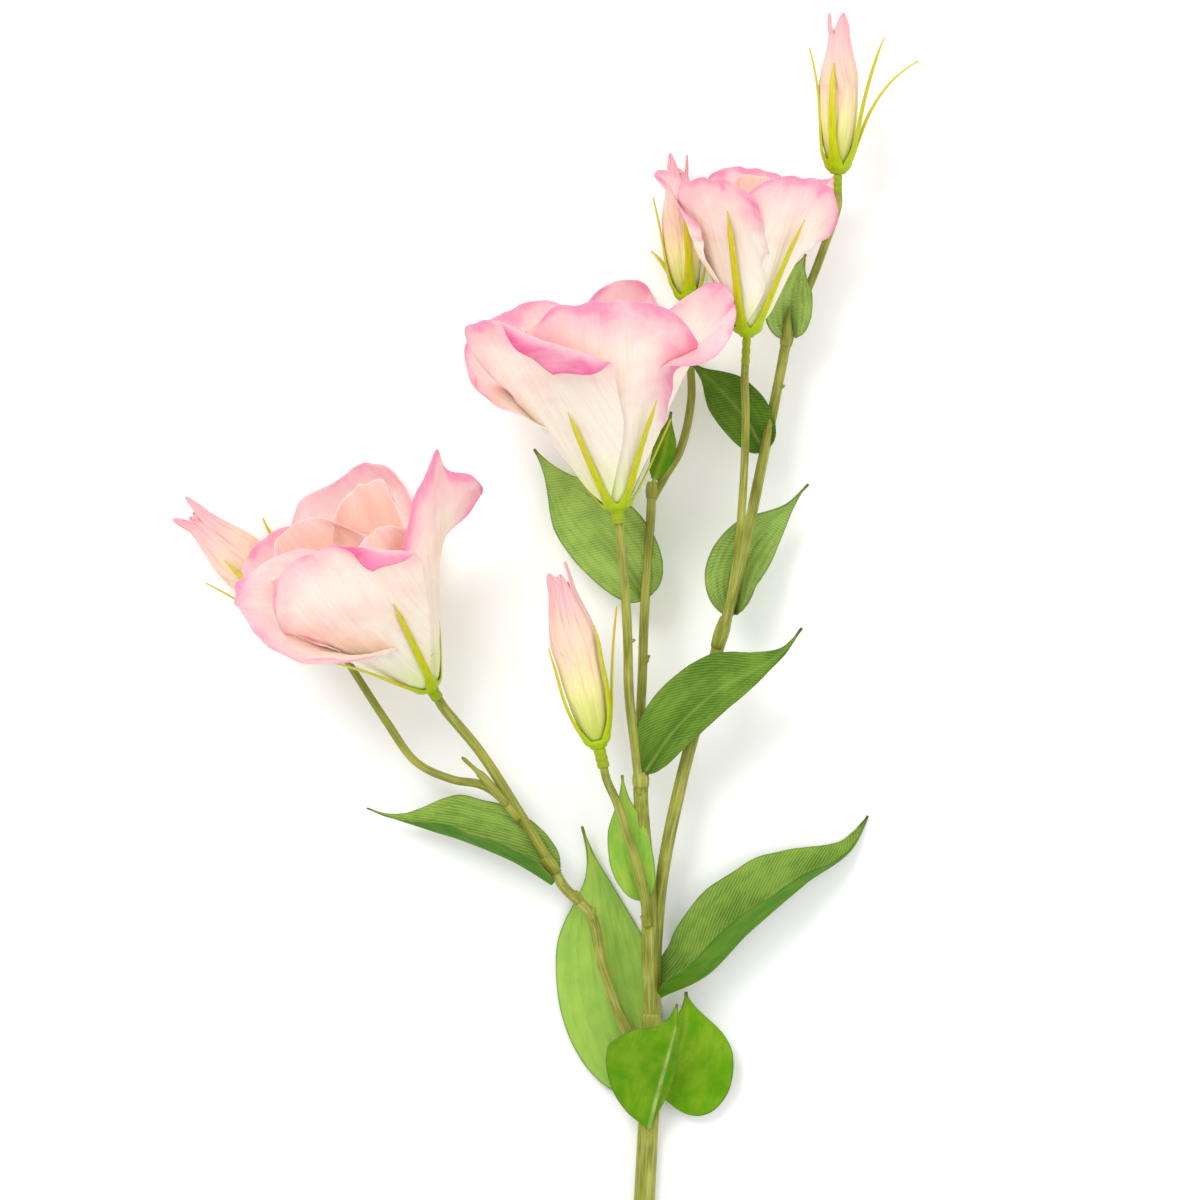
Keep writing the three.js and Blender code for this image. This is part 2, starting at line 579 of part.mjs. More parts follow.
/** The surface of one petal: a flat outline, waved and curled, then wrapped round the bloom's funnel. */
function petalSurface(bloom, petal) {
  const frame = frameOf(bloom);
  const { length, width } = petal;
  const open = bloom.open - petal.inset;
  const line = walk(length, ROOT, (s) => {
    const tube = lerp(ROOT.lean, open, smoothstep(s, 0, ROOT.bend));
    return tube + (petal.flare - open) * smoothstep(s, length * petal.from, length);
  });
  const { out, side } = around(frame, petal.at);
  return (u, v) => {
    const edge = Math.abs(u);
    const half = u < 0 ? 0 : 1;
    const lay = petal.lay[half];
    const flat = {
      x: u * petalWidth(width, v),
      y: length * (v - petal.round[half] * v * v * edge ** PETAL.round),
      z: lay * edge * smoothstep(v * length, 2, 12),
    };
    const [height, count, phase] = petal.waves;
    const atTip = 0.7 * smoothstep(v, 0.55, 1);
    const atEdge = 0.6 * smoothstep(edge, 0.5, 1) * smoothstep(v, 0.3, 0.8);
    flat.z += height * (atTip + atEdge) * Math.sin(Math.PI * count * u + phase + 2.2 * v);
    for (const c of petal.curls) curl(flat, c);
    const at = line(flat.y);
    const spread = smoothstep(flat.y, 0.4 * length, length) * (lay < 0 ? PETAL.under : 1);
    const bend = lerp(1 / Math.max(at.radius, 1.5), petal.cup, spread);
    const turn = bend * flat.x;
    const isFlat = Math.abs(turn) < 1e-4;
    const across = isFlat ? flat.x : Math.sin(turn) / bend;
    const depth = isFlat ? 0 : (1 - Math.cos(turn)) / bend;
    const normal = sum([out, cosD(at.lean)], [frame.axis, -sinD(at.lean)]);
    const inward = sum([out, 1 - spread], [normal, spread]).normalize();
    const outside = Math.cos(turn) * cosD(at.lean);
    const local = sum([out, outside], [side, Math.sin(turn) * cosD(at.lean)], [frame.axis, -sinD(at.lean)]);
    const place = sum([frame.base, 1], [out, at.radius], [frame.axis, at.height]);
    place.add(sum([side, across], [inward, -depth], [local, flat.z]));
    for (const [atU, atV, reach, right, front, along] of petal.pulls) {
      const share = Math.exp(-((u - atU) ** 2 + (2 * (v - atV)) ** 2) / reach ** 2);
      place.addScaledVector(frame.right, right * share);
      place.addScaledVector(frame.front, front * share);
      place.addScaledVector(frame.axis, along * share);
    }
    return place;
  };
}

/** A round solid about a flower's axis, through [radius, height] places from the bottom up. */
function turned(frame, profile, sides = 8) {
  const geometry = new THREE.LatheGeometry(profile.map(([r, h]) => new THREE.Vector2(r, h)), sides);
  const basis = new THREE.Matrix4().makeBasis(frame.right, frame.axis, frame.front.clone().negate());
  geometry.applyMatrix4(basis.setPosition(frame.base));
  return solidOf(geometry);
}

/** All the petals of a bloom. Their roots are sunk in a round plug. */
function bloomPetals(bloom) {
  const frame = frameOf(bloom);
  const { bottom, middle, top, narrow, wide } = PLUG;
  const plug = turned(frame, [[0, bottom], [narrow, bottom], [wide, middle], [wide, top], [0, top]]);
  const outer = bloom.petals.map((p) => sheet(petalSurface(bloom, { ...OUTER, ...p }), 6, 6, PETAL_THICK));
  const inner = bloom.inner.map((p) => sheet(petalSurface(bloom, { ...INNER, ...p }), 3, 4, PETAL_THICK));
  return join([plug, ...outer, ...inner]);
}

// ---------------------------------------------------------------- calyx

/** A narrow tapering blade along points, with its width along the side directions given. */
function ribbon(points, sides, width, thick) {
  const last = points.length - 1;
  const rings = points.map((p, i) => {
    const ahead = points[Math.min(i + 1, last)].clone().sub(points[Math.max(i - 1, 0)]).normalize();
    const normal = sides[i].clone().cross(ahead).normalize();
    const share = lerp(1, SEPAL.tip, (i / last) ** SEPAL.taper);
    const deep = lerp(1, SEPAL.thin, i / last);
    return [[1, 0], [0, 1], [-1, 0], [0, -1]].map(([a, b]) =>
      rest(sum([p, 1], [sides[i], (a * width * share) / 2], [normal, (b * thick * deep) / 2])));
  });
  return loft(rings);
}

/** Follows the outside of a flower's tube, or of a closed bud, by the distance along it. */
function bodyLine(flower) {
  if (flower.open) return walk(60, ROOT, (s) => lerp(ROOT.lean, flower.open, smoothstep(s, 0, ROOT.bend)));
  const outline = BUD_PROFILE.map(([r, h]) => {
    const full = 1 + BUD.fullness * flower.full * smoothstep(h, 0.45, 0.75);
    return new THREE.Vector2(r * flower.radius * full, h * flower.length);
  });
  const curve = new THREE.SplineCurve(outline);
  const reach = curve.getLength();
  return (s) => {
    const share = THREE.MathUtils.clamp(s / reach, 0, 1);
    const { x, y } = curve.getPointAt(share);
    const ahead = curve.getTangentAt(share);
    return { radius: x, height: y, lean: THREE.MathUtils.radToDeg(Math.atan2(ahead.x, ahead.y)) };
  };
}

/** One sepal. It follows the flower's outside, or leans away from it; away lifts its tip. */
function sepalBlade(flower, { at, length, lean, away = 0 }) {
  const frame = frameOf(flower);
  const body = bodyLine(flower);
  const leanAt = (s) => {
    const own = lerp(...lean, (s / length) ** 1.4);
    return lerp(body(s + SEPAL.start).lean, own, smoothstep(s, 2, 7));
  };
  const line = lean ? walk(length, body(SEPAL.start), leanAt) : (s) => body(s + SEPAL.start);
  const { out, side } = around(frame, at);
  const steps = lean ? 5 : 4;
  const points = [];
  for (let i = 0; i <= steps; i++) {
    const s = lerp(1, length - SEPAL.start, i / steps);
    const { radius, height, lean: tilt } = line(s);
    const lifted = lerp(CUP.gap + CUP.rise + CUP.rim, SEPAL.lift, smoothstep(s, 2, 10));
    const lift = lifted + away * (s / length) ** 2;
    const [beside, up] = [radius + lift * cosD(tilt), height - lift * sinD(tilt)];
    points.push(rest(sum([frame.base, 1], [out, beside], [frame.axis, up]), PRESSED * SEPAL.thick));
  }
  return ribbon(points, points.map(() => side), SEPAL.width, SEPAL.thick);
}

/** The green cup under a bloom or bud, with its neck and its five sepals. */
function calyx(flower) {
  const frame = frameOf(flower);
  const line = bodyLine(flower);
  const wall = (s, lift) => {
    const at = line(s);
    return [at.radius + lift * cosD(at.lean), at.height - lift * sinD(at.lean)];
  };
  const gap = (s) => CUP.gap + CUP.rise * smoothstep(s, 1, CUP.reach);
  const inner = (s) => wall(s, gap(s));
  const outer = (s) => wall(s, gap(s) + lerp(CUP.wall, CUP.rim, s / CUP.reach));
  const end = -flower.neck - CUP.foot;
  const profile = [
    [0, inner(0)[1]], ...CUP.stops.map(inner), ...CUP.stops.slice(1).reverse().map(outer),
    [flower.neckRadius, -CUP.foot], [flower.neckRadius, end], [0, end],
  ];
  return join([turned(frame, profile), ...flower.sepals.map((s) => sepalBlade(flower, s))]);
}

/** Where the neck of a calyx ends, for the stem that carries it. */
function neckEnd(flower, back = 0) {
  const frame = frameOf(flower);
  return sum([frame.base, 1], [frame.axis, -flower.neck - CUP.foot - GAP - back]);
}

// ---------------------------------------------------------------- pistil and stamens

function ball(centre, axis, radius, stretch) {
  const geometry = new THREE.OctahedronGeometry(radius);
  geometry.scale(1, stretch, 1);
  geometry.applyQuaternion(new THREE.Quaternion().setFromUnitVectors(new THREE.Vector3(0, 1, 0), axis));
  geometry.translate(centre.x, centre.y, centre.z);
  return solidOf(geometry);
}

/** The middle of a bloom: a style with a forked tip, and the stamens round it. */
function pistil(bloom) {
  const frame = frameOf(bloom);
  const up = (h) => sum([frame.base, 1], [frame.axis, h]);
  const foot = PLUG.top + GAP;
  const { top, style } = PISTIL;
  const places = [
    [0, foot], [PISTIL.foot, foot], [PISTIL.waist, foot + 3], [style, foot + 8], [style, top], [0, top],
  ];
  const lobes = [0, 180].map((a) => {
    const { out } = around(frame, a + PISTIL.turn);
    return ball(sum([up(top), 1], [out, PISTIL.lobeOut]), out, PISTIL.lobe, 1.4);
  });
  const stamens = Array.from({ length: STAMEN.count }, (_, i) => {
    const { out, side } = around(frame, STAMEN.turn + (360 * i) / STAMEN.count);
    const ends = [STAMEN.from, STAMEN.to].map(([r, h]) => sum([up(foot + h), 1], [out, r]));
    const ring = (p) => [90, 210, 330].map((a) =>
      sum([p, 1], [side, STAMEN.radius * cosD(a)], [out, STAMEN.radius * sinD(a)]));
    return join([loft(ends.map(ring)), ball(ends[1], frame.axis, STAMEN.anther, 2)]);
  });
  return join([turned(frame, places, 6), ...lobes, ...stamens]);
}

// ---------------------------------------------------------------- buds

/** The closed petals of a bud: a spindle with wrapped seams, and petal tips that part at the top. */
function budPetals(bud) {
  const frame = frameOf(bud);
  const line = bodyLine(bud);
  const shut = BUD.shut * bud.length;
  const rings = [0, 0.04, 0.12, 0.25, 0.42, 0.6, 0.78, 1].map((share) => {
    const at = line(share * shut);
    return Array.from({ length: BUD.sides }, (_, i) => {
      const angle = (360 * i) / BUD.sides;
      const seam = ((BUD.seams * (angle + BUD.twist * share)) / 360) % 1 - 0.5;
      const { out } = around(frame, angle);
      const radius = at.radius * (1 + BUD.seam * seam * smoothstep(share, 0.15, 0.3));
      return rest(sum([frame.base, 1], [frame.axis, at.height], [out, radius]));
    });
  });
  const start = line(BUD.tipStart * bud.length);
  const tips = bud.tips.map((tip) => {
    const { out, side } = around(frame, tip.at);
    const long = bud.length - start.height + tip.length - 4;
    const blade = (u, v) => {
      const reach = long * v;
      const half = lerp(start.radius * BUD.tipWide, BUD.tipEnd, v ** 2);
      const away = (start.radius - 0.9) * (1 - 0.4 * v) + reach * sinD(tip.lean) * v - 0.2 * half * u * u;
      return sum([frame.base, 1], [frame.axis, start.height + reach], [out, away], [side, half * u]);
    };
    return sheet(blade, 2, 3, PETAL_THICK);
  });
  return join([loft(rings), ...tips]);
}

// ---------------------------------------------------------------- leaves

/** A leaf folded along its midrib. The upper side is inside the fold. */
function leafBlade(leaf) {
  const midrib = new THREE.CatmullRomCurve3(leaf.midrib.map(point), false, "centripetal");
  const sky = new THREE.Vector3(0, 0, 1);
  const { taper = 0.6, belly = 0.6 } = leaf;
  const peak = (belly / (belly + 1)) ** belly / (belly + 1);
  const place = (u, v) => {
    const centre = midrib.getPointAt(v);
    const ahead = midrib.getTangentAt(v);
    const up = sum([sky, 1], [ahead, -ahead.z]).normalize();
    const left = up.clone().cross(ahead);
    const turn = lerp(leaf.turn[0], leaf.turn[1], v);
    const face = sum([up, cosD(turn)], [left, sinD(turn)]);
    const right = ahead.clone().cross(face);
    const fold = lerp(leaf.fold[0], leaf.fold[1], v);
    const shape = ((v ** belly * (1 - v)) / peak) * (1 - taper * smoothstep(v, 0.55, 0.95));
    const width = leaf.width[u < 0 ? 0 : 1];
    const half = Math.max(width * shape, lerp(LEAF.root, LEAF.tip, v)) * Math.abs(u);
    const lobe = LEAF.lobe * half * (1 - v) ** 4;
    const across = Math.sign(u) * half * cosD(fold);
    return sum([centre, 1], [ahead, -lobe], [right, across], [face, half * sinD(fold)]);
  };
  return sheet(place, 4, 6, LEAF_THICK);
}

// ---------------------------------------------------------------- stems

/** A round stem along a path, wider by grow, with one flat side down where it lies on the surface. */
function limb({ path, to, radius }, grow = 0) {
  const points = path.map(point);
  if (to) points.push(neckEnd(to, 5), neckEnd(to));
  const curve = new THREE.CatmullRomCurve3(points, false, "centripetal");
  const sky = new THREE.Vector3(0, 0, 1);
  const steps = points.length === 2 ? 1 : Math.round(points.length * 1.3);
  const rings = [];
  for (let j = 0; j <= steps; j++) {
    const ahead = curve.getTangent(j / steps);
    const beyond = j === 0 ? -grow : j === steps ? grow : 0;
    const centre = sum([curve.getPoint(j / steps), 1], [ahead, beyond]);
    const side = ahead.clone().cross(sky).normalize();
    const up = side.clone().cross(ahead);
    const wide = lerp(radius[0], radius[1], j / steps) + grow;
    rings.push(Array.from({ length: STEM_SIDES }, (_, i) => {
      const angle = (360 * i) / STEM_SIDES;
      const corner = sum([centre, 1], [side, wide * cosD(angle)], [up, wide * sinD(angle)]);
      return grow ? corner : rest(corner);
    }));
  }
  return loft(rings);
}

// ---------------------------------------------------------------- the spray

const spray = new THREE.Group();
let room = null; // what the stems so far take up, with the gap round them
for (const [name, limbs] of Object.entries(STEMS)) {
  const stem = join(limbs.map((l) => limb(l)));
  const widened = join(limbs.map((l) => limb(l, GAP)));
  spray.add(meshOf(name, room ? stem.subtract(room) : stem, COLOURS.stem));
  room = room ? room.add(widened) : widened;
}
for (const [name, leaf] of Object.entries(LEAVES)) {
  spray.add(meshOf(`leaf_${name}`, leafBlade(leaf).subtract(room), COLOURS.leaf));
}
for (const [name, bloom] of Object.entries(BLOOMS)) {
  spray.add(meshOf(`bloom_${name}_petals`, bloomPetals(bloom), COLOURS.petal));
  spray.add(meshOf(`bloom_${name}_calyx`, calyx(bloom), COLOURS.calyx));
  spray.add(meshOf(`bloom_${name}_pistil`, pistil(bloom), COLOURS.pistil));
}
for (const [name, bud] of Object.entries(BUDS)) {
  spray.add(meshOf(`bud_${name}_petals`, budPetals(bud), COLOURS.bud));
  spray.add(meshOf(`bud_${name}_calyx`, calyx(bud), COLOURS.calyx));
}

export default spray;
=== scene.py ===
"""The looks of a lisianthus spray that lies on a pale surface, seen from straight above.

It is an artificial spray: its petals and leaves are cut cloth, and its stems and calyxes are moulded.
Sizes in the tables are in millimetres, in the same frame as the solids. Angles are in degrees.
"""

import math

import bpy
import numpy as np
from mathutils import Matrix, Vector


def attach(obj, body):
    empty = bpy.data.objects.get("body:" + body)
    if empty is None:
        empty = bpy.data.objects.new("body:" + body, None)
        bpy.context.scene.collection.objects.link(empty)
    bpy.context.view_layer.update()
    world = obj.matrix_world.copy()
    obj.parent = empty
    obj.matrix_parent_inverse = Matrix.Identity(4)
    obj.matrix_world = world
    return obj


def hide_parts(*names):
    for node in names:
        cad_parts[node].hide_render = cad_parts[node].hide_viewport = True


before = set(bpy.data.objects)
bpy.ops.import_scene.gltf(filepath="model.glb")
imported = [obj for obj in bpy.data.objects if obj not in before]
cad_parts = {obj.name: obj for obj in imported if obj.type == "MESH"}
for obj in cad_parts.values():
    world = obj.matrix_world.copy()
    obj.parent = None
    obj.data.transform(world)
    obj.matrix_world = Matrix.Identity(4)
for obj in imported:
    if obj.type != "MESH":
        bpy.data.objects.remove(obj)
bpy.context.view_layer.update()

MM = 0.001

# ---------------- sizes shared with the solids

ROOT = dict(radius=0.8, height=0.8, lean=80, bend=5.5)
PETAL = dict(foot=1.7, widest=0.78, swell=1.25, round=3.2, under=0.4)
CUP_FOOT = 1.2
SEPAL = dict(thick=1.0, thin=0.6, start=2.6)
BUD = dict(
    seams=3, seam=0.2, twist=70, fullness=0.16, shut=0.972,
    end=((0.9, 0.7), (0.72, 1.5), (0.48, 2.2), (0.15, 2.7)),
)
LEAF = dict(root=1.3, tip=0.4, lobe=0.4)
PISTIL = dict(foot=4.7, top=24)

# A petal stands at an angle round the axis, and from its start on it flares. Its lay lifts each side over or
# under its neighbours, and round rounds each shoulder. Waves are a height, a count and a phase. A curl is a
# direction, a distance, a radius and a turn. A pull is a place on the petal, its size, and a shift to the
# right, to the front and along the axis.
OUTER = dict(
    start=0.3, cup=0.012, lay=(1, -1), round=(0.22, 0.22), inset=0, curls=(), pulls=(), inner=0, low=0.4,
    blush=0,
)
INNER = {**OUTER, **dict(
    width=18, start=0.5, cup=0.03, lay=(0.5, -0.5), round=(0.2, 0.2), inset=10.5, inner=1,
)}

# Each sepal of a flower: where it stands round the axis, its length, its leans at the root and at the tip
# where it stands off the flower, and how far its tip is lifted.
BLOOMS = {
    "left": dict(
        base=(-37.6, 4.6, 23), heading=122, rise=20, open=30, neck=3.2, neck_radius=1.9,
        petals=[
            dict(at=22, length=79, width=26, flare=16, start=0.5, waves=(0.5, 2.0, 0.5), blush=3.5,
                 pulls=[(-1, 0.9, 0.5, 16, 5, -4), (1, 1, 0.8, -12, -9, -17), (-0.2, 1, 0.25, 8, 0, 6),
                        (-0.6, 1, 0.3, -2, 0, -4), (1, 0.6, 0.5, -5, 0, 3)]),
            dict(at=108, length=82, width=28, flare=10, start=0.4, lay=(1, 1), round=(0.05, 0.3), blush=-2,
                 waves=(0.5, 2.1, 1.0), curls=[(-46, 61.5, 1.4, 165)], pulls=[(-0.8, 1, 0.6, 4, 0, 0)]),
            dict(at=172, length=69, width=29, flare=40, cup=0.006, lay=(-1, 1), waves=(0.8, 2.4, 2.1),
                 pulls=[(-0.8, 0.9, 0.6, -1, 4, -12), (1, 0.75, 0.8, 8, 17, 23)]),
            dict(at=226, length=76, width=27, flare=30, lay=(-1, -1), waves=(1.0, 2.4, 3.1),
                 pulls=[(-1, 0.8, 0.7, 3, 12, -2), (1, 1, 0.6, 4, 3, 0)]),
            dict(at=284, length=75, width=26, flare=38, round=(0.08, 0.1), waves=(1.2, 2.7, 0.4), blush=-2,
                 pulls=[(0.5, 1, 0.75, 0, -19, -2), (-0.5, 1, 0.5, -2, 0, 3)]),
        ],
        inner=[
            dict(at=60, length=66, flare=0, waves=(1.8, 2.6, 0.3)),
            dict(at=150, length=69, width=22, flare=16, waves=(1.5, 2.4, 2.3)),
            dict(at=240, length=71, width=22, flare=14, waves=(1.7, 2.8, 1.3)),
            dict(at=318, length=72, width=23, flare=14, waves=(1.6, 2.5, 3.3)),
        ],
        sepals=[(79, 50), (142, 42, None, 5), (215, 30), (285, 30), (342, 26)],
    ),
    "middle": dict(
        base=(24.1, 63.7, 41), heading=97, rise=6, open=31, neck=3.6, neck_radius=2.0,
        petals=[
            dict(at=0, length=77, width=25, flare=46, cup=0.004, waves=(0.5, 2.0, 0.5),
                 pulls=[(-1, 0.9, 0.8, -6, 12, 15), (1, 0.95, 0.35, 8, 6, -3), (1, 0.65, 0.5, 0, 0, 7)]),
            dict(at=82, length=81, width=27, flare=26, cup=0.018, waves=(0.5, 2.2, 1.5), low=0.15, blush=2,
                 pulls=[(-1, 0.93, 0.4, 7, 0, 0), (1, 0.95, 0.6, -3, -3, 7), (-1, 0.75, 0.35, -5.5, 0, 0)]),
            dict(at=133, length=84, width=29, flare=38, cup=0.010, lay=(1, 1), round=(0.04, 0.3),
                 waves=(0.5, 2.2, 2.5), curls=[(-41.7, 62.5, 1.6, 165)],
                 pulls=[(-1, 0.95, 0.8, 5, 0, -1), (-1, 0.6, 0.3, -3, 0, 0)]),
            dict(at=220, length=77, width=28, flare=31, lay=(-1, 1), waves=(1.0, 2.2, 0.4),
                 pulls=[(-0.9, 0.85, 0.5, -9, 2, -3), (0.7, 1, 0.6, 8, 0, 7)]),
            dict(at=283, length=86, width=21, flare=38, lay=(-1, -1), round=(0.35, 0.35),
                 waves=(0.8, 2.2, 2.4), pulls=[(0, 1, 0.9, 0, -11, 0)]),
        ],
        inner=[
            dict(at=30, length=60, flare=8, waves=(1.8, 2.6, 0.3)),
            dict(at=120, length=60, flare=10, waves=(1.5, 2.4, 2.3)),
            dict(at=210, length=68, flare=12, waves=(1.7, 2.8, 1.3)),
            dict(at=300, length=68, flare=6, waves=(1.6, 2.5, 3.3)),
        ],
        sepals=[(118, 43), (56, 46, None, 4), (5, 34), (200, 30), (272, 30)],
    ),
    "right": dict(
        base=(67.0, 121.6, 35), heading=87, rise=6, open=23, neck=9, neck_radius=1.25,
        petals=[
            dict(at=-30, length=60, width=19, flare=34, waves=(0.8, 2.0, 0.5),
                 pulls=[(0.6, 1, 0.9, -1, -14, 0)]),
            dict(at=58, length=60, width=22, flare=28, cup=0.024, lay=(1, -0.7), waves=(0.5, 2.2, 1.5),
                 pulls=[(-1, 0.92, 0.5, 3, 0, -4)]),
            dict(at=126, length=58, width=22, flare=30, cup=0.018, lay=(0.8, 1), waves=(0.5, 2.2, 2.5),
                 round=(0.12, 0.22), pulls=[(-1, 0.75, 0.6, -7, 0, 0)]),
            dict(at=198, length=58, width=21, flare=44, lay=(-1, 1), waves=(0.8, 2.2, 0.4),
                 pulls=[(-1, 0.55, 0.5, -8, 0, 0), (0.2, 1, 0.7, -2.5, 0, 3.5)]),
            dict(at=264, length=60, width=22, flare=26, lay=(-1, -1), waves=(1.0, 2.2, 2.4)),
        ],
        inner=[
            dict(at=50, length=48, width=14, flare=6, waves=(1.4, 2.6, 0.3)),
            dict(at=160, length=50, width=14, flare=8, waves=(1.3, 2.4, 2.3)),
            dict(at=270, length=54, width=14, flare=4, waves=(1.4, 2.8, 1.3)),
        ],
        sepals=[(112, 47, None, 2), (50, 46, None, 4), (175, 34), (235, 32), (305, 32, None, 3)],
    ),
}

BUD_PROFILE = [
    (0.16, 0.012), (0.42, 0.03), (0.62, 0.09), (0.82, 0.2), (0.96, 0.33),
    (1, 0.47), (0.91, 0.63), (0.66, 0.77), (0.5, 0.86), (0.42, 0.92),
]
BUDS = {
    "top": dict(
        base=(97.2, 175.7, 31), heading=89.5, rise=2, length=49, radius=6.5, full=0,
        neck=6, neck_radius=1.3,
        sepals=[(108, 36), (170, 42, (-2, 18)), (30, 47, (8, 26)), (340, 48, (12, 68)), (262, 34)],
    ),
    "upper": dict(
        base=(47.9, 134.4, 8.5), heading=95, rise=0, length=45, radius=6.2, full=0.4,
        neck=4, neck_radius=1.4,
        sepals=[(80, 29), (172, 36, (2, 10)), (215, 22, (8, 62)), (10, 30), (290, 28)],
    ),
    "lower": dict(
        base=(18.0, -14.1, 34), heading=103.3, rise=3, length=58, radius=7.0, full=1.7,
        neck=6.5, neck_radius=1.9,
        sepals=[(160, 36), (30, 40), (345, 46, (12, 22)), (225, 30), (285, 30)],
    ),
    "side": dict(
        base=(-75.4, 23.4, 9.4), heading=137.5, rise=0, length=59, radius=8.5, full=0.6,
        neck=4, neck_radius=1.4,
        sepals=[(112, 40), (182, 41, (8, 16)), (336, 38, (10, 19)), (322, 44, (11, 30)), (270, 30)],
    ),
}

LEAVES = {
    "left": dict(
        midrib=[(2.5, -60.4, 17), (-9.2, -53.5, 16), (-26.5, -46.3, 13), (-50.0, -39.1, 9),
                (-59.5, -35.8, 7)],
        width=(14, 16), turn=(-58, -52), fold=(54, 50), taper=0.8),
    "base_back": dict(
        midrib=[(33.9, -130.3, 5), (24.5, -107.0, 3.5), (19.5, -80.2, 3), (17.5, -60.0, 4), (12.5, -41.9, 6)],
        width=(15, 18), turn=(180, 180), fold=(4, 10), taper=0.77),
    "centre_small": dict(
        midrib=[(33.1, -65.5, 22), (29.4, -54.1, 24.5), (27.1, -39.2, 25), (25.8, -24.3, 24)],
        width=(7.5, 7.5), turn=(180, 180), fold=(8, 20)),
    "right_large": dict(
        midrib=[(38.5, -98.4, 12), (53.9, -91.2, 10), (68.0, -77.2, 9), (87.5, -60.6, 6),
                (102.4, -50.1, 2), (108.5, -38.7, 0.4)],
        width=(20, 21), turn=(61, 50), fold=(58, 46), taper=0.4),
    "centre_right": dict(
        midrib=[(33.4, -23.2, 26), (43.0, -9.5, 27.5), (57.0, 3.5, 29.5), (71.0, 11.5, 30),
                (79.0, 16.5, 29), (85.4, 24.5, 27)],
        width=(13, 8), turn=(10, 10), fold=(22, 16), taper=0.75),
    "base_front": dict(
        midrib=[(34.9, -142.5, 9.2), (37.8, -130.2, 15), (41.1, -117.1, 25), (43.6, -106.7, 31),
                (43.9, -99.7, 32)],
        width=(4.5, 20), turn=(165, 165), fold=(12, 30), belly=1),
    "base_right": dict(
        midrib=[(38.0, -131.0, 7), (43.0, -121.0, 9), (46.8, -110.5, 11), (47.2, -97.2, 9)],
        width=(21, 10), turn=(180, 180), fold=(6, 8), belly=0.45),
    "middle_back": dict(
        midrib=[(33.5, 34.5, 19), (25.2, 47.1, 16), (10.2, 64.5, 11), (-3.6, 84.3, 7)],
        width=(12, 15), turn=(0, 0), fold=(12, 10)),
    "middle_small": dict(
        midrib=[(36.8, 74.4, 19), (39.5, 82.0, 19), (41.1, 90.4, 18), (42.2, 96.4, 16)],
        width=(4, 4), turn=(180, 180), fold=(20, 20)),
    "right_upper": dict(
        midrib=[(73.0, 83.7, 20), (66.4, 94.7, 19), (57.1, 105.4, 17), (48.5, 113.2, 12)],
        width=(8.5, 9.5), turn=(0, 10), fold=(18, 14)),
    "right_lower": dict(
        midrib=[(63.0, 29.1, 22), (62.8, 42.5, 17), (69.2, 54.5, 14), (80.2, 63.8, 15), (87.8, 72.4, 17)],
        width=(10.5, 10.5), turn=(20, -50), fold=(20, 30), taper=0.75),
    "right_top": dict(
        midrib=[(82.6, 121.2, 21), (81.6, 128.2, 21), (82.3, 136.8, 21), (87.0, 148.9, 19)],
        width=(9.5, 8), turn=(0, 0), fold=(25, 20)),
}

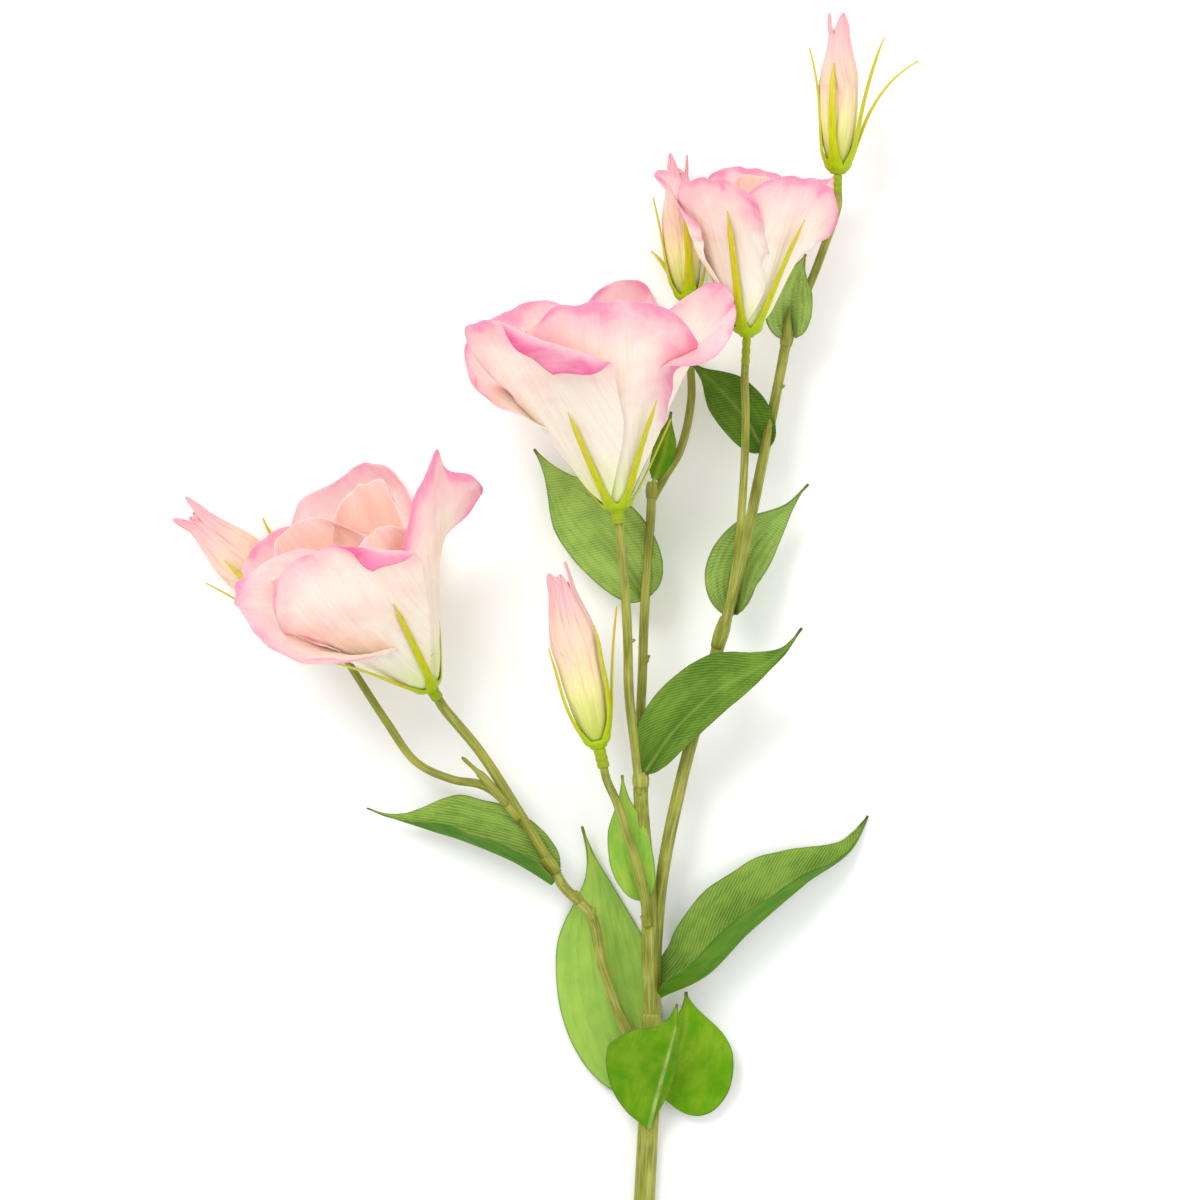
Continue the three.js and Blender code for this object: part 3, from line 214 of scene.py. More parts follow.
# Each limb of a stem: its path, its radius at both ends and the flower that it carries.
STEMS = {
    "main_stem": [
        ([(31.2, -227.7, 3.1), (32.6, -184.1, 3.1), (34.7, -140.4, 5), (35.5, -120.0, 9),
         (35.9, -103.7, 12)], (3.6, 3.3)),
    ],
    "left_branch": [
        ([(35.2, -125.1, 8), (27.5, -110.1, 11), (22.5, -98.3, 13.5), (18.8, -86.2, 15.5),
         (16.5, -74.1, 17), (14.5, -69.7, 17.5), (6.5, -61.7, 18.5), (2.2, -54.3, 19),
         (-8.5, -36.7, 18.5), (-21.4, -16.8, 17.5)],
         (1.9, 1.6), BLOOMS["left"]),
        ([(-8.4, -39.4, 19), (-15.8, -30.8, 18), (-21.5, -27.6, 16.5), (-30.8, -26.0, 15),
         (-42.9, -20.3, 12.5), (-53.0, -6.6, 11), (-62.4, 7.7, 9.6)],
         (1.5, 1.2), BUDS["side"]),
        ([(-12.1, -34.7, 19), (-20.1, -25.4, 20), (-27.4, -18.4, 21)], (1.6, 1.1)),
        ([(4.2, -57.3, 19), (0.2, -51.7, 19)], (2.2, 2.2)),
        ([(11.8, -67.0, 18), (9.2, -63.7, 18)], (2.1, 2.1)),
    ],
    "centre_branch": [
        ([(35.9, -106.5, 11), (35.2, -86.1, 16), (34.5, -62.7, 19), (32.3, -39.3, 22),
         (31.8, -24.3, 24)], (2.9, 2.4)),
        ([(31.8, -30.9, 24), (30.1, -14.2, 27), (28.1, 2.4, 31), (27.6, 20.6, 35), (26.7, 37.1, 38)],
         (1.6, 1.5), BLOOMS["middle"]),
        ([(32.1, -30.9, 23), (31.8, -9.4, 22), (32.5, 7.2, 20.5), (33.3, 30.5, 19.5),
         (35.1, 57.1, 18.5), (35.8, 71.4, 18)], (1.6, 1.5)),
        ([(35.8, 67.1, 18), (39.8, 74.4, 17.5), (45.2, 83.8, 16), (48.9, 100.5, 12.5),
         (48.3, 120.7, 9)], (1.4, 1.3), BUDS["upper"]),
        ([(34.5, -74.3, 20), (33.4, -65.7, 25), (30.7, -53.9, 28.5), (27.4, -43.6, 31),
         (23.8, -32.6, 33)], (1.7, 1.3), BUDS["lower"]),
        ([(32.1, -28.6, 24), (31.9, -23.3, 24)], (2.8, 2.8)),
        ([(35.5, 67.7, 18), (36.0, 73.1, 18)], (2.1, 2.1)),
        ([(32.5, 12.5, 20.5), (35.1, 15.5, 21.5)], (1.4, 0.8)),
    ],
    "right_branch": [
        ([(36.5, -104.7, 12), (37.2, -79.6, 14), (39.8, -54.5, 16), (45.6, -26.1, 18),
         (50.8, -6.1, 20), (56.5, 13.9, 22), (60.0, 26.5, 24)], (2.1, 2.1)),
        ([(57.7, 17.2, 23), (60.9, 29.8, 26), (63.8, 47.0, 30), (65.8, 70.2, 32), (66.6, 93.3, 33)],
         (1.5, 1.25), BLOOMS["right"]),
        ([(57.7, 17.2, 23), (61.7, 32.1, 22.5), (66.7, 52.1, 21), (71.2, 73.7, 20),
         (76.7, 100.3, 20), (80.6, 120.9, 21)], (1.8, 1.7)),
        ([(80.1, 118.5, 21), (84.4, 129.6, 18), (88.4, 139.0, 18), (92.6, 150.1, 22)],
         (1.5, 1.3), BUDS["top"]),
        ([(80.4, 119.5, 22), (81.2, 131.2, 24)], (1.5, 1.0)),
        ([(57.3, 17.9, 23), (60.3, 27.8, 24.5)], (2.6, 2.5)),
        ([(80.1, 118.2, 21), (81.0, 122.2, 21)], (2.2, 2.2)),
    ],
}

# ---------------- sizes of the finer form

CLOTH_PETAL = 0.34  # thickness of the cloth
CLOTH_LEAF = 0.5
# How far margins, frills, creases, veins and waves stand out: in millimetres, or as a share of the size.
RELIEF = dict(
    scallop=0.014, narrow=0.16, frill=0.75, crease=0.22,
    groove=0.55, vein=0.22, wave=0.035, uneven=0.12,
)
# How uneven a stem is, as shares of its radius.
STEM = dict(knot=0.035, ridge=0.05, less=0.03, line=0.03)
SKY = np.array([0.0, 0.0, 1.0])

# The cup under a flower: its rim is low between the sepals and high where one stands on it.
RIM = dict(low=2.6, bloom_low=4, rise_up=2.2, reach=19, gap=0.45, rise=0.25, wall=1.05, edge=0.45)
# A sepal: how deep its root sinks into the cup, its lift off the flower there and further on, its half
# width, how much its point and its root change it, and from where to where it stops wrapping round.
BLADE = dict(sunk=1.2, low=0.9, lift=1.6, root=1.55, tip=0.9, point=0.8, spread=1.5, run=7, wrap=(5, 16))
# The neck of a calyx: its rings, how far they swell, and how far the stem goes in.
NECK = dict(segments=3, swell=0.26, sunk=0.9)

# The tips of a bud's petals: where each stands round the bud, how far it wraps to each side, its length
# past the bud's, how it leans, how late it narrows and how much of the bud's radius it keeps.
FLAP = dict(lean=0, late=2, keep=0.45)
FLAPS = {
    "top": [
        dict(at=158, wrap=50, length=7, lean=10, late=1),
        dict(at=58, wrap=66, length=7, lean=-1, late=4, keep=0.62), dict(at=268, wrap=52, length=3),
    ],
    "upper": [
        dict(at=122, wrap=74, length=8, lean=2, late=1, keep=0.75),
        dict(at=24, wrap=36, length=7, lean=9, late=1.1, keep=0.6), dict(at=262, wrap=60, length=4, lean=2),
    ],
    "lower": [
        dict(at=132, wrap=54, length=5, lean=2, late=4.5, keep=0.9),
        dict(at=80, wrap=38, length=4, lean=-3, late=1.8, keep=0.75),
        dict(at=26, wrap=42, length=7.5, late=1, keep=0.8), dict(at=268, wrap=60, length=3, keep=0.7),
    ],
    "side": [
        dict(at=36, wrap=66, length=8, lean=2, late=1.6, keep=0.7),
        dict(at=142, wrap=58, length=6, lean=13, late=2, keep=0.9),
        dict(at=104, wrap=34, length=2.5, lean=2, late=1.4, keep=0.6), dict(at=282, wrap=50, length=3),
    ],
}

# How deep a leaf's green is on its upper side and underneath, and how its threads lie to the midrib.
LEAF_LOOK = dict(tone=0, under=0, grain=20)
LEAF_LOOKS = {
    "left": dict(tone=-0.1, under=0.9, grain=90),
    "base_back": dict(under=-0.4, grain=10),
    "centre_small": dict(under=-0.25),
    "right_large": dict(tone=0, under=0.8, grain=75),
    "centre_right": dict(tone=0.6, under=0.5, grain=-65),
    "base_front": dict(under=0.5),
    "base_right": dict(under=0.3),
    "middle_back": dict(tone=-0.2, grain=37),
    "middle_small": dict(under=0.6),
    "right_upper": dict(tone=0.8, grain=40),
    "right_lower": dict(tone=-0.25, under=0.2, grain=-30),
    "right_top": dict(tone=-0.5),
}
# Where along the tube of a bloom it is closed, and how far inside the petals its two walls lie.
THROAT = dict(reach=(1.5, 15), walls=(0.35, 0.65))

# Leaves whose moulded midrib shows: how far back of the leaf it starts, how far along it runs, its lift.
SPINES = {
    "base_front": dict(back=0, reach=0.85, lift=0.4),
    "middle_small": dict(back=2.6, reach=0.5, lift=0),
}

# Small spurs where side stems were cut off: where each stands, which way it points, and its radius.
SPURS = {
    "left_branch": [((16.3, -70.2, 18.2), (0.1, 1.0, 0.2), 1.0), ((7.4, -62.2, 19.6), (-0.5, 0.6, 0.6), 0.8)],
    "centre_branch": [
        ((28.9, 20.2, 35.2), (1.0, 0.4, 0.2), 0.75), ((33.0, -72.0, 21.6), (-0.6, 0.5, 0.7), 0.9),
    ],
    "right_branch": [((57.9, 4.0, 22.2), (0.8, 0.5, 0.4), 0.9), ((78.6, 104.5, 21.0), (0.9, 0.4, 0.3), 0.8)],
    "main_stem": [((37.9, -128.0, 8.6), (0.8, 0.5, 0.5), 1.2)],
}

# ---------------- small maths


def sin_d(a):
    return np.sin(np.radians(a))


def cos_d(a):
    return np.cos(np.radians(a))


def lerp(a, b, t):
    return a + (b - a) * t


def smooth(x, low, high):
    """Rises from 0 at low to 1 at high, level at both ends."""
    t = np.clip((np.asarray(x, float) - low) / (high - low), 0, 1)
    return t * t * (3 - 2 * t)


def bell(x, width):
    return np.exp(-((x / width) ** 2))


def unit(v):
    return v / np.maximum(np.linalg.norm(v, axis=-1, keepdims=True), 1e-9)


def times(amount, direction):
    """An amount per point along one direction, or along a direction per point."""
    return np.asarray(amount)[..., None] * direction


def turns(count):
    """Angles spread evenly round a circle."""
    return np.arange(count) * 360 / count


def column(values):
    """One value for each ring, so that it meets the values for each point of a ring."""
    return np.asarray(values)[:, None]


def hoops(centre, side, up, wide, angles):
    """Rings of points round the centres, each in the plane of its two directions."""
    right = times(wide * cos_d(angles), np.expand_dims(side, -2))
    return column(centre) + right + times(wide * sin_d(angles), np.expand_dims(up, -2))


def ripple(x, seed, count=4, base=1.0):
    """A smooth, uneven wave over x, from a seed, that stays within about -1 to 1."""
    rng = np.random.default_rng(seed)
    total = np.zeros_like(np.asarray(x, float))
    shares = 1 / (1 + 0.6 * np.arange(count))
    for k, share in enumerate(shares):
        total += share * np.sin(base * (1 + 0.83 * k) * x + rng.uniform(0, 2 * math.pi))
    return total / sum(shares) * 1.4


class Axes:
    """The directions of a bloom or bud: its axis, its right-hand side and its front, as seen from above."""

    def __init__(self, flower):
        heading, rise = flower["heading"], flower["rise"]
        self.base = np.array(flower["base"], float)
        self.axis = np.array([cos_d(heading) * cos_d(rise), sin_d(heading) * cos_d(rise), sin_d(rise)])
        self.right = np.array([sin_d(heading), -cos_d(heading), 0.0])
        self.front = np.cross(self.right, self.axis)

    def around(self, angle):
        """The outward and the sideways direction at an angle, or at an angle per point, round the axis."""
        cos, sin = cos_d(angle), sin_d(angle)
        out = times(cos, self.right) + times(sin, self.front)
        side = times(-sin, self.right) + times(cos, self.front)
        return out, side

    def at(self, radius, height, out):
        """Places at a height along the axis and a radius from it, in an outward direction."""
        return self.base + times(height, self.axis) + times(radius, out)


def walk(length, start, lean_at, steps=96):
    """Walks a line that leans from the axis by lean_at(s), and gives radius, height and lean at any s."""
    s = np.linspace(0, length, steps + 1)
    step = length / steps
    middle = np.array([float(lean_at(x)) for x in s[:-1] + step / 2])
    radius = start[0] + np.concatenate([[0], np.cumsum(sin_d(middle) * step)])
    height = start[1] + np.concatenate([[0], np.cumsum(cos_d(middle) * step)])
    lean = np.array([float(lean_at(x)) for x in s])
    return lambda x: (np.interp(x, s, radius), np.interp(x, s, height), np.interp(x, s, lean))


class Curve:
    """A smooth line through points, even in arc length or in the points' own pace."""

    def __init__(self, points, samples=40):
        p = [np.array(q, float) for q in points]
        ends = [2 * p[0] - p[1], *p, 2 * p[-1] - p[-2]]
        line = []
        for a, b, c, d in zip(ends, ends[1:], ends[2:], ends[3:]):
            t0, t1, t2 = (max(np.sum((y - x) ** 2) ** 0.25, 1e-4) for x, y in ((a, b), (b, c), (c, d)))
            m1 = ((b - a) / t0 - (c - a) / (t0 + t1) + (c - b) / t1) * t1
            m2 = ((c - b) / t1 - (d - b) / (t1 + t2) + (d - c) / t2) * t1
            w = np.linspace(0, 1, samples, endpoint=False)[:, None]
            line.append(b + m1 * w + (-3 * b + 3 * c - 2 * m1 - m2) * w**2 + (2 * b - 2 * c + m1 + m2) * w**3)
        self.line = np.concatenate([*line, p[-1][None]])
        steps = np.linalg.norm(np.diff(self.line, axis=0), axis=1)
        self.reach = np.concatenate([[0], np.cumsum(steps)])
        self.length = self.reach[-1]
        self.pace = np.linspace(0, 1, len(self.line))

    def _read(self, share, table):
        end = table[-1]
        x = np.asarray(share, float) * end
        step = end * 0.004

        def at(x):
            return np.stack([np.interp(x, table, column) for column in self.line.T], -1)

        return at(x), unit(at(np.minimum(x + step, end)) - at(np.maximum(x - step, 0)))

    def even(self, share):
        """Points and directions at shares of the length."""
        return self._read(share, self.reach)

    def paced(self, share):
        """Points and directions at shares of the points' own pace."""
        return self._read(share, self.pace)


# ---------------- meshes


class Shape:
    """Gathers points in millimetres, faces and values per point, and makes one mesh of them."""

    def __init__(self):
        self.points = []
        self.faces = []
        self.values = {}
        self.count = 0

    def add(self, points, faces, **values):
        n = len(points)
        self.points.append(points)
        self.faces.extend(tuple(int(i) + self.count for i in f) for f in faces)
        for name in set(self.values) | set(values):
            row = self.values.setdefault(name, np.zeros(self.count))
            more = np.broadcast_to(np.asarray(values.get(name, 0.0), float), (n,))
            self.values[name] = np.concatenate([row, more])
        self.count += n

    def build(self, name, node, slot):
        mesh = bpy.data.meshes.new(name)
        points = np.concatenate(self.points)
        points[:, 2] = np.maximum(points[:, 2], 0)
        mesh.from_pydata((points * MM).tolist(), [], self.faces)
        for key, values in self.values.items():
            layer = mesh.attributes.new(key, "FLOAT", "POINT")
            layer.data.foreach_set("value", values.astype(np.float32))
        mesh.polygons.foreach_set("use_smooth", np.ones(len(mesh.polygons), bool))
        mesh.materials.append(MATERIALS[slot])
        mesh.update()
        piece = stand(name, mesh)
        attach(piece, "root")
        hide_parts(node)


def stand(name, data):
    """Puts a mesh, lamp or camera in the scene."""
    thing = bpy.data.objects.new(name, data)
    bpy.context.scene.collection.objects.link(thing)
    return thing


def quads(rows, columns, closed=False):
    """Faces of a grid of points, row by row."""
    last = columns if closed else columns - 1
    for j in range(rows - 1):
        for i in range(last):
            k = (i + 1) % columns
            yield (j * columns + i, j * columns + k, (j + 1) * columns + k, (j + 1) * columns + i)


def sheet(shape, surface, across, along, thick, values):
    """A thin closed sheet on both sides of surface(u, v). values(u, v) gives what the material reads."""
    u, v = np.meshgrid(across, along)
    rows, columns = u.shape
    middle = surface(u, v)
    middle[..., 2] = np.maximum(middle[..., 2], 0.43 * thick)
    normal = unit(np.cross(np.gradient(middle, axis=1), np.gradient(middle, axis=0)))
    front = (middle + normal * thick / 2).reshape(-1, 3)
    back = (middle - normal * thick / 2).reshape(-1, 3)
    n = rows * columns
    faces = list(quads(rows, columns))
    faces += [tuple(n + i for i in reversed(f)) for f in quads(rows, columns)]
    rim = list(range(columns))
    rim += [j * columns + columns - 1 for j in range(1, rows)]
    rim += [(rows - 1) * columns + i for i in range(columns - 2, -1, -1)]
    rim += [j * columns for j in range(rows - 2, 0, -1)]
    faces += [(n + p, n + q, q, p) for p, q in zip(rim, rim[1:] + rim[:1])]
    per_point = {k: np.tile(np.broadcast_to(x, u.shape).ravel(), 2) for k, x in values(u, v).items()}
    per_point["face"] = np.repeat([1.0, 0.0], n)
    shape.add(np.concatenate([front, back]), faces, **per_point)


def tube(shape, rings, hollow=False, **values):
    """A closed solid through rings of points. A value may be one number for each ring.

    The last ring of a hollow one is joined to its first, as in a pipe with a wall.
    """
    rings = np.asarray(rings)
    count, sides = rings.shape[:2]
    faces = list(quads(count, sides, closed=True))
    first, last = list(range(sides)), [(count - 1) * sides + i for i in range(sides)]
    if hollow:
        turned = zip(first, first[1:] + first[:1], last, last[1:] + last[:1])
        faces += [(c, d, b, a) for a, b, c, d in turned]
    else:
        faces += [tuple(reversed(first)), tuple(last)]
    spread = {k: np.repeat(np.broadcast_to(x, (count,)), sides) for k, x in values.items()}
    spread["turn"] = np.tile(np.arange(sides) / sides, count)
    shape.add(rings.reshape(-1, 3), faces, **spread)


def blob(shape, centre, axis, radius, stretch, **values):
    """An egg-shaped solid along an axis."""
    axis = unit(np.asarray(axis, float))
    first = unit(np.cross(axis, SKY + 0.1))
    second = np.cross(axis, first)
    angles = turns(12)
    groove = 1 - 0.12 * np.abs(cos_d(angles)) ** 6
    a = np.linspace(-86, 86, 11)
    middle = centre + times(radius * stretch * sin_d(a), axis)
    tube(shape, hoops(middle, first, second, radius * cos_d(column(a)) * groove, angles), **values)


# ---------------- petals


def petal_width(width, v):
    share = np.sin(np.pi / 2 * np.minimum(1, v / PETAL["widest"])) ** PETAL["swell"]
    return np.maximum(PETAL["foot"], width * share)


def curl(x, y, z, toward, at, radius, turn):
    """Rolls what lies beyond a line across the flat petal outward, round a cylinder."""
    dx, dy = sin_d(toward), cos_d(toward)
    beyond = np.maximum(x * dx + y * dy - at, 0)
    angle = np.minimum(beyond / radius, math.radians(turn))
    straight = beyond - radius * angle
    shift = radius * np.sin(angle) + straight * np.cos(angle) - beyond
    return x + shift * dx, y + shift * dy, z + radius * (1 - np.cos(angle)) + straight * np.sin(angle)


def petal_surface(bloom, petal, seed):
    """The surface of one petal: a flat outline, waved and curled, then wrapped round the bloom's funnel."""
    axes = Axes(bloom)
    length, width = petal["length"], petal["width"]
    opening = bloom["open"] - petal["inset"]

    def lean_at(s):
        tube_lean = lerp(ROOT["lean"], opening, smooth(s, 0, ROOT["bend"]))
        return tube_lean + (petal["flare"] - opening) * smooth(s, length * petal["start"], length)

    line = walk(length, (ROOT["radius"], ROOT["height"]), lean_at)
    out, side = axes.around(petal["at"])

    def by_side(u, key):
        """The petal's value for the left or the right half."""
        return np.where(u < 0, *petal[key])

    def reach(u, v):
        """How far up the flat petal a point lies, less towards its rounded shoulders."""
        return v - by_side(u, "round") * v * v * np.abs(u) ** PETAL["round"]

    def surface(u, v):
        edge = np.abs(u)
        lay = by_side(u, "lay")
        margin_angle = np.arctan2(u * width, (v - 0.45) * length)
        near_margin = np.maximum(smooth(edge, 0.55, 1) * smooth(v, 0.35, 0.7), smooth(v, 0.72, 1))
        scallop = 1 + RELIEF["scallop"] * near_margin * ripple(margin_angle, seed, 5, 7)
        narrow = 1 - RELIEF["narrow"] * smooth(v, 0.8, 1.0) ** 2
        x = u * petal_width(width, v) * scallop * narrow
        y = length * reach(u, v) * lerp(1, scallop, smooth(v, 0.5, 1))
        z = lay * edge * smooth(v * length, 2, 12)
        height, count, phase = petal["waves"]
        broad = 0.7 * smooth(v, 0.55, 1) + 0.6 * smooth(edge, 0.5, 1) * smooth(v, 0.3, 0.8)
        z = z + height * broad * np.sin(np.pi * count * u + phase + 2.2 * v)
        z = z + RELIEF["frill"] * near_margin * ripple(margin_angle, seed + 50, 4, 9)
        creases = ripple(u * 9, seed + 90, 5, 2.4) * (1 - 0.6 * edge)
        z = z + RELIEF["crease"] * creases * smooth(v, 0.1, 0.4) * (1 - 0.5 * smooth(v, 0.8, 1))
        for c in petal["curls"]:
            x, y, z = curl(x, y, z, *c)
        radius, height_at, lean = line(y)
        spread = smooth(y, 0.4 * length, length) * np.where(lay < 0, PETAL["under"], 1)
        bend = lerp(1 / np.maximum(radius, 1.5), petal["cup"], spread)
        turn = bend * x
        flat = np.abs(turn) < 1e-4
        safe = np.where(flat, 1.0, bend)
        across = np.where(flat, x, np.sin(turn) / safe)
        depth = np.where(flat, 0, (1 - np.cos(turn)) / safe)
        normal = times(cos_d(lean), out) - times(sin_d(lean), axes.axis)
        inward = unit(times(1 - spread, out) + normal * spread[..., None])
        local = times(np.cos(turn) * cos_d(lean), out) + times(np.sin(turn) * cos_d(lean), side)
        local = local - times(sin_d(lean), axes.axis)
        place = axes.at(radius, height_at, out) + times(across, side)
        place = place - inward * depth[..., None] + local * z[..., None]
        for at_u, at_v, size, right, front, along in petal["pulls"]:
            share = np.exp(-((u - at_u) ** 2 + (2 * (v - at_v)) ** 2) / size**2)
            place = place + times(share, right * axes.right + front * axes.front + along * axes.axis)
        return place

    def values(u, v):
        half = petal_width(width, v)
        x, y = u * half, length * reach(u, v)
        sideways = (1 - np.abs(u)) * half + 40 * (1 - smooth(v, petal["low"], petal["low"] + 0.45))
        rolled = np.zeros_like(u)
        for toward, at, _, _ in petal["curls"]:
            rolled = np.maximum(rolled, smooth(x * sin_d(toward) + y * cos_d(toward) - at, 0, 6))
        return dict(
            margin=np.minimum(sideways, (1 - v) * length) - petal["blush"], across=x, along=v * length,
            rolled=rolled, height=v, inner=petal["inner"], seed=seed,
        )

    return surface, values


def throat(shape, bloom, number):
    """Closes the lower part of a bloom's tube, inside the outer petals, with a thin wall."""
    axes = Axes(bloom)
    radius, height, _ = body_line(bloom)(np.linspace(*THROAT["reach"], 24))
    outside, inside = THROAT["walls"]
    radius = np.concatenate([radius - outside, radius[::-1] - inside])
    height = np.concatenate([height, height[::-1]])
    out, _ = axes.around(turns(48))
    rings = axes.at(column(radius), column(height), out)
    tube(shape, rings, True, margin=40.0, along=height, height=height / 75, inner=0.4, seed=number)


def bloom_petals(name, bloom, number):
    shape = Shape()
    even = np.linspace(-1, 1, 61)
    across = np.sin(even * math.pi / 2) * 0.35 + even * 0.65
    petals = [{**OUTER, **p} for p in bloom["petals"]] + [{**INNER, **p} for p in bloom["inner"]]
    for i, petal in enumerate(petals):
        surface, values = petal_surface(bloom, petal, 20 * number + i + 1)
        sheet(shape, surface, across, np.linspace(0, 1, 79), CLOTH_PETAL, values)
    throat(shape, bloom, number)
    shape.build(f"{name}_bloom_petals", f"bloom_{name}_petals", "petal")


# ---------------- calyx


def body_line(flower):
    """Follows the outside of a flower's tube, or of a closed bud, by the distance along it."""
    if "open" in flower:
        def lean_at(s):
            return lerp(ROOT["lean"], flower["open"], smooth(s, 0, ROOT["bend"]))
        return walk(60, (ROOT["radius"], ROOT["height"]), lean_at)
    points = []
    for r, h in BUD_PROFILE:
        full = 1 + BUD["fullness"] * flower["full"] * smooth(h, 0.45, 0.75)
        points.append((r * flower["radius"] * full, h * flower["length"]))
    curve = Curve(points)

    def at(s):
        place, ahead = curve.even(np.clip(np.asarray(s, float) / curve.length, 0, 1))
        return place[..., 0], place[..., 1], np.degrees(np.arctan2(ahead[..., 0], ahead[..., 1]))
    return at


def sepal_blade(shape, flower, at, length, lean=None, away=0):
    """One sepal. It follows the flower's outside, or leans away from it; away lifts its tip."""
    axes = Axes(flower)
    body = body_line(flower)
    start = SEPAL["start"]

    def own_lean(s):
        mine = lerp(*lean, (s / length) ** 1.4)
        return lerp(float(body(s + start)[2]), mine, smooth(s, 2, 7))

    free = walk(length, (float(body(start)[0]), float(body(start)[1])), own_lean) if lean else None

    def line(s):
        near = body(s + start)
        return [np.where(s < 0, a, b) for a, b in zip(near, free(s))] if lean else near

    out, side = axes.around(at)
    t = np.linspace(0, 1, 48) ** 1.15
    s = lerp(-BLADE["sunk"], length - start, t)
    radius, height, tilt = line(s)
    lift = lerp(BLADE["low"], BLADE["lift"], smooth(s, -BLADE["sunk"], 12))
    lift = lift + away * (np.maximum(s, 0) / length) ** 2
    middle = axes.at(radius + lift * cos_d(tilt), height - lift * sin_d(tilt), out)
    middle[:, 2] = np.maximum(middle[:, 2], 0.43)
    normal = unit(np.cross(side, unit(np.gradient(middle, axis=0))))
    half = lerp(BLADE["root"], BLADE["tip"], t) * (1 - BLADE["point"] * smooth(t, 0.8, 1))
    half = half + BLADE["spread"] * (1 - smooth(s, -BLADE["sunk"], BLADE["run"]))
    deep = SEPAL["thick"] / 2 * lerp(0.9, SEPAL["thin"], t) * lerp(0.6, 1, smooth(s, 0, 6))
    bend = (1 - smooth(s, *BLADE["wrap"])) / (radius + lift) + 1e-4
    angles = turns(20)
    keel = np.abs(sin_d(angles)) ** 0.8 * np.sign(sin_d(angles))
    bend = column(bend)
    turn = column(half) * cos_d(angles) * bend
    rings = column(middle) + times(np.sin(turn) / bend, side) - times((1 - np.cos(turn)) / bend, out)
    tube(shape, rings + times(column(deep) * keel, column(normal)), along=s, height=t, sepal=1.0)


def calyx(name, flower, node):
    """The green cup under a bloom or bud, with its neck and its five sepals."""
    axes = Axes(flower)
    line = body_line(flower)

    def wall(s, thick=0):
        """The cup's inside, or its outside a thickness further out."""
        radius, height, lean = line(s)
        lift = RIM["gap"] + RIM["rise"] * smooth(s, 1, 5) + thick
        return radius + lift * cos_d(lean), height - lift * sin_d(lean)

    angles = turns(60)
    out, _ = axes.around(angles)
    low = RIM["bloom_low"] if "open" in flower else RIM["low"]
    rim = np.full(len(angles), low)
    for at, *_ in flower["sepals"]:
        off = (angles - at + 180) % 360 - 180
        rim = np.maximum(rim, low + RIM["rise_up"] * bell(off, RIM["reach"]))
    inside = [wall(lerp(0.4, rim, t)) for t in np.linspace(0, 1, 8)]
    outside = [wall(lerp(1.3, rim, t), lerp(RIM["wall"], RIM["edge"], t**2)) for t in np.linspace(1, 0, 9)]
    profile = [(0.05, inside[0][1]), *inside, *outside]
    low_radius, low_height = outside[-1]
    neck, end = flower["neck_radius"], -flower["neck"] - CUP_FOOT
    for t in (0.25, 0.5, 0.7, 0.85, 1.0):  # the cup's rounded bottom
        radius = lerp(low_radius, neck, 1 - cos_d(90 * t))
        profile.append((radius, lerp(low_height, -CUP_FOOT, sin_d(90 * t))))
    for t in np.linspace(0.04, 0.98, 22):
        swell = NECK["swell"] * abs(math.sin(t * math.pi * NECK["segments"])) ** 0.7
        profile.append((neck * 0.95 + swell, lerp(-CUP_FOOT, end, t)))
    profile += [(neck * 0.8, end), (0.05, end)]
    profile.reverse()
    shape = Shape()
    heights = np.array([float(np.mean(h)) for _, h in profile])
    rings = [axes.at(r, h, out) for r, h in profile]
    tube(shape, rings, along=heights, height=np.clip(heights / 8, 0, 1))
    for s in flower["sepals"]:
        sepal_blade(shape, flower, *s)
    shape.build(f"{name}_calyx_green", node, "calyx")


def neck_end(flower, back=0):
    """Where the stem goes into the neck of a calyx, or a place back from there."""
    axes = Axes(flower)
    return axes.base - axes.axis * (flower["neck"] + CUP_FOOT - NECK["sunk"] + back)


# ---------------- pistil


def pistil(name, bloom):
    """The middle of a bloom: a style with a forked tip, and the stamens round it."""
    axes = Axes(bloom)
    foot, top = PISTIL["foot"], PISTIL["top"]
    heights = np.array([foot, foot + 1, foot + 3, foot + 5.5, foot + 8, 16, 20, top])
    radii = np.array([1.9, 1.85, 1.7, 1.2, 0.9, 0.8, 0.8, 0.9])
    out, _ = axes.around(turns(16))
    shape = Shape()
    h = column(np.linspace(foot, top, 24))
    tube(shape, axes.at(np.interp(h, heights, radii), h, out), height=0.2)
    for a in (35, 215):
        lobe_out, _ = axes.around(a)
        blob(shape, axes.at(1.2, top, lobe_out), lobe_out, 1.6, 1.4, height=0.6)
    for i in range(5):
        stamen_out, side = axes.around(20 + 72 * i)
        t = np.linspace(0, 1, 12)
        centre = axes.at(lerp(1.0, 3.8, t), foot + lerp(1.5, 10.5, t), stamen_out)
        tube(shape, hoops(centre, side, stamen_out, 0.42, turns(8)), height=0.0)
        blob(shape, centre[-1], axes.axis, 1.0, 2.0, height=1.0)
    shape.build(f"{name}_bloom_heart", f"bloom_{name}_pistil", "pistil")


# ---------------- buds


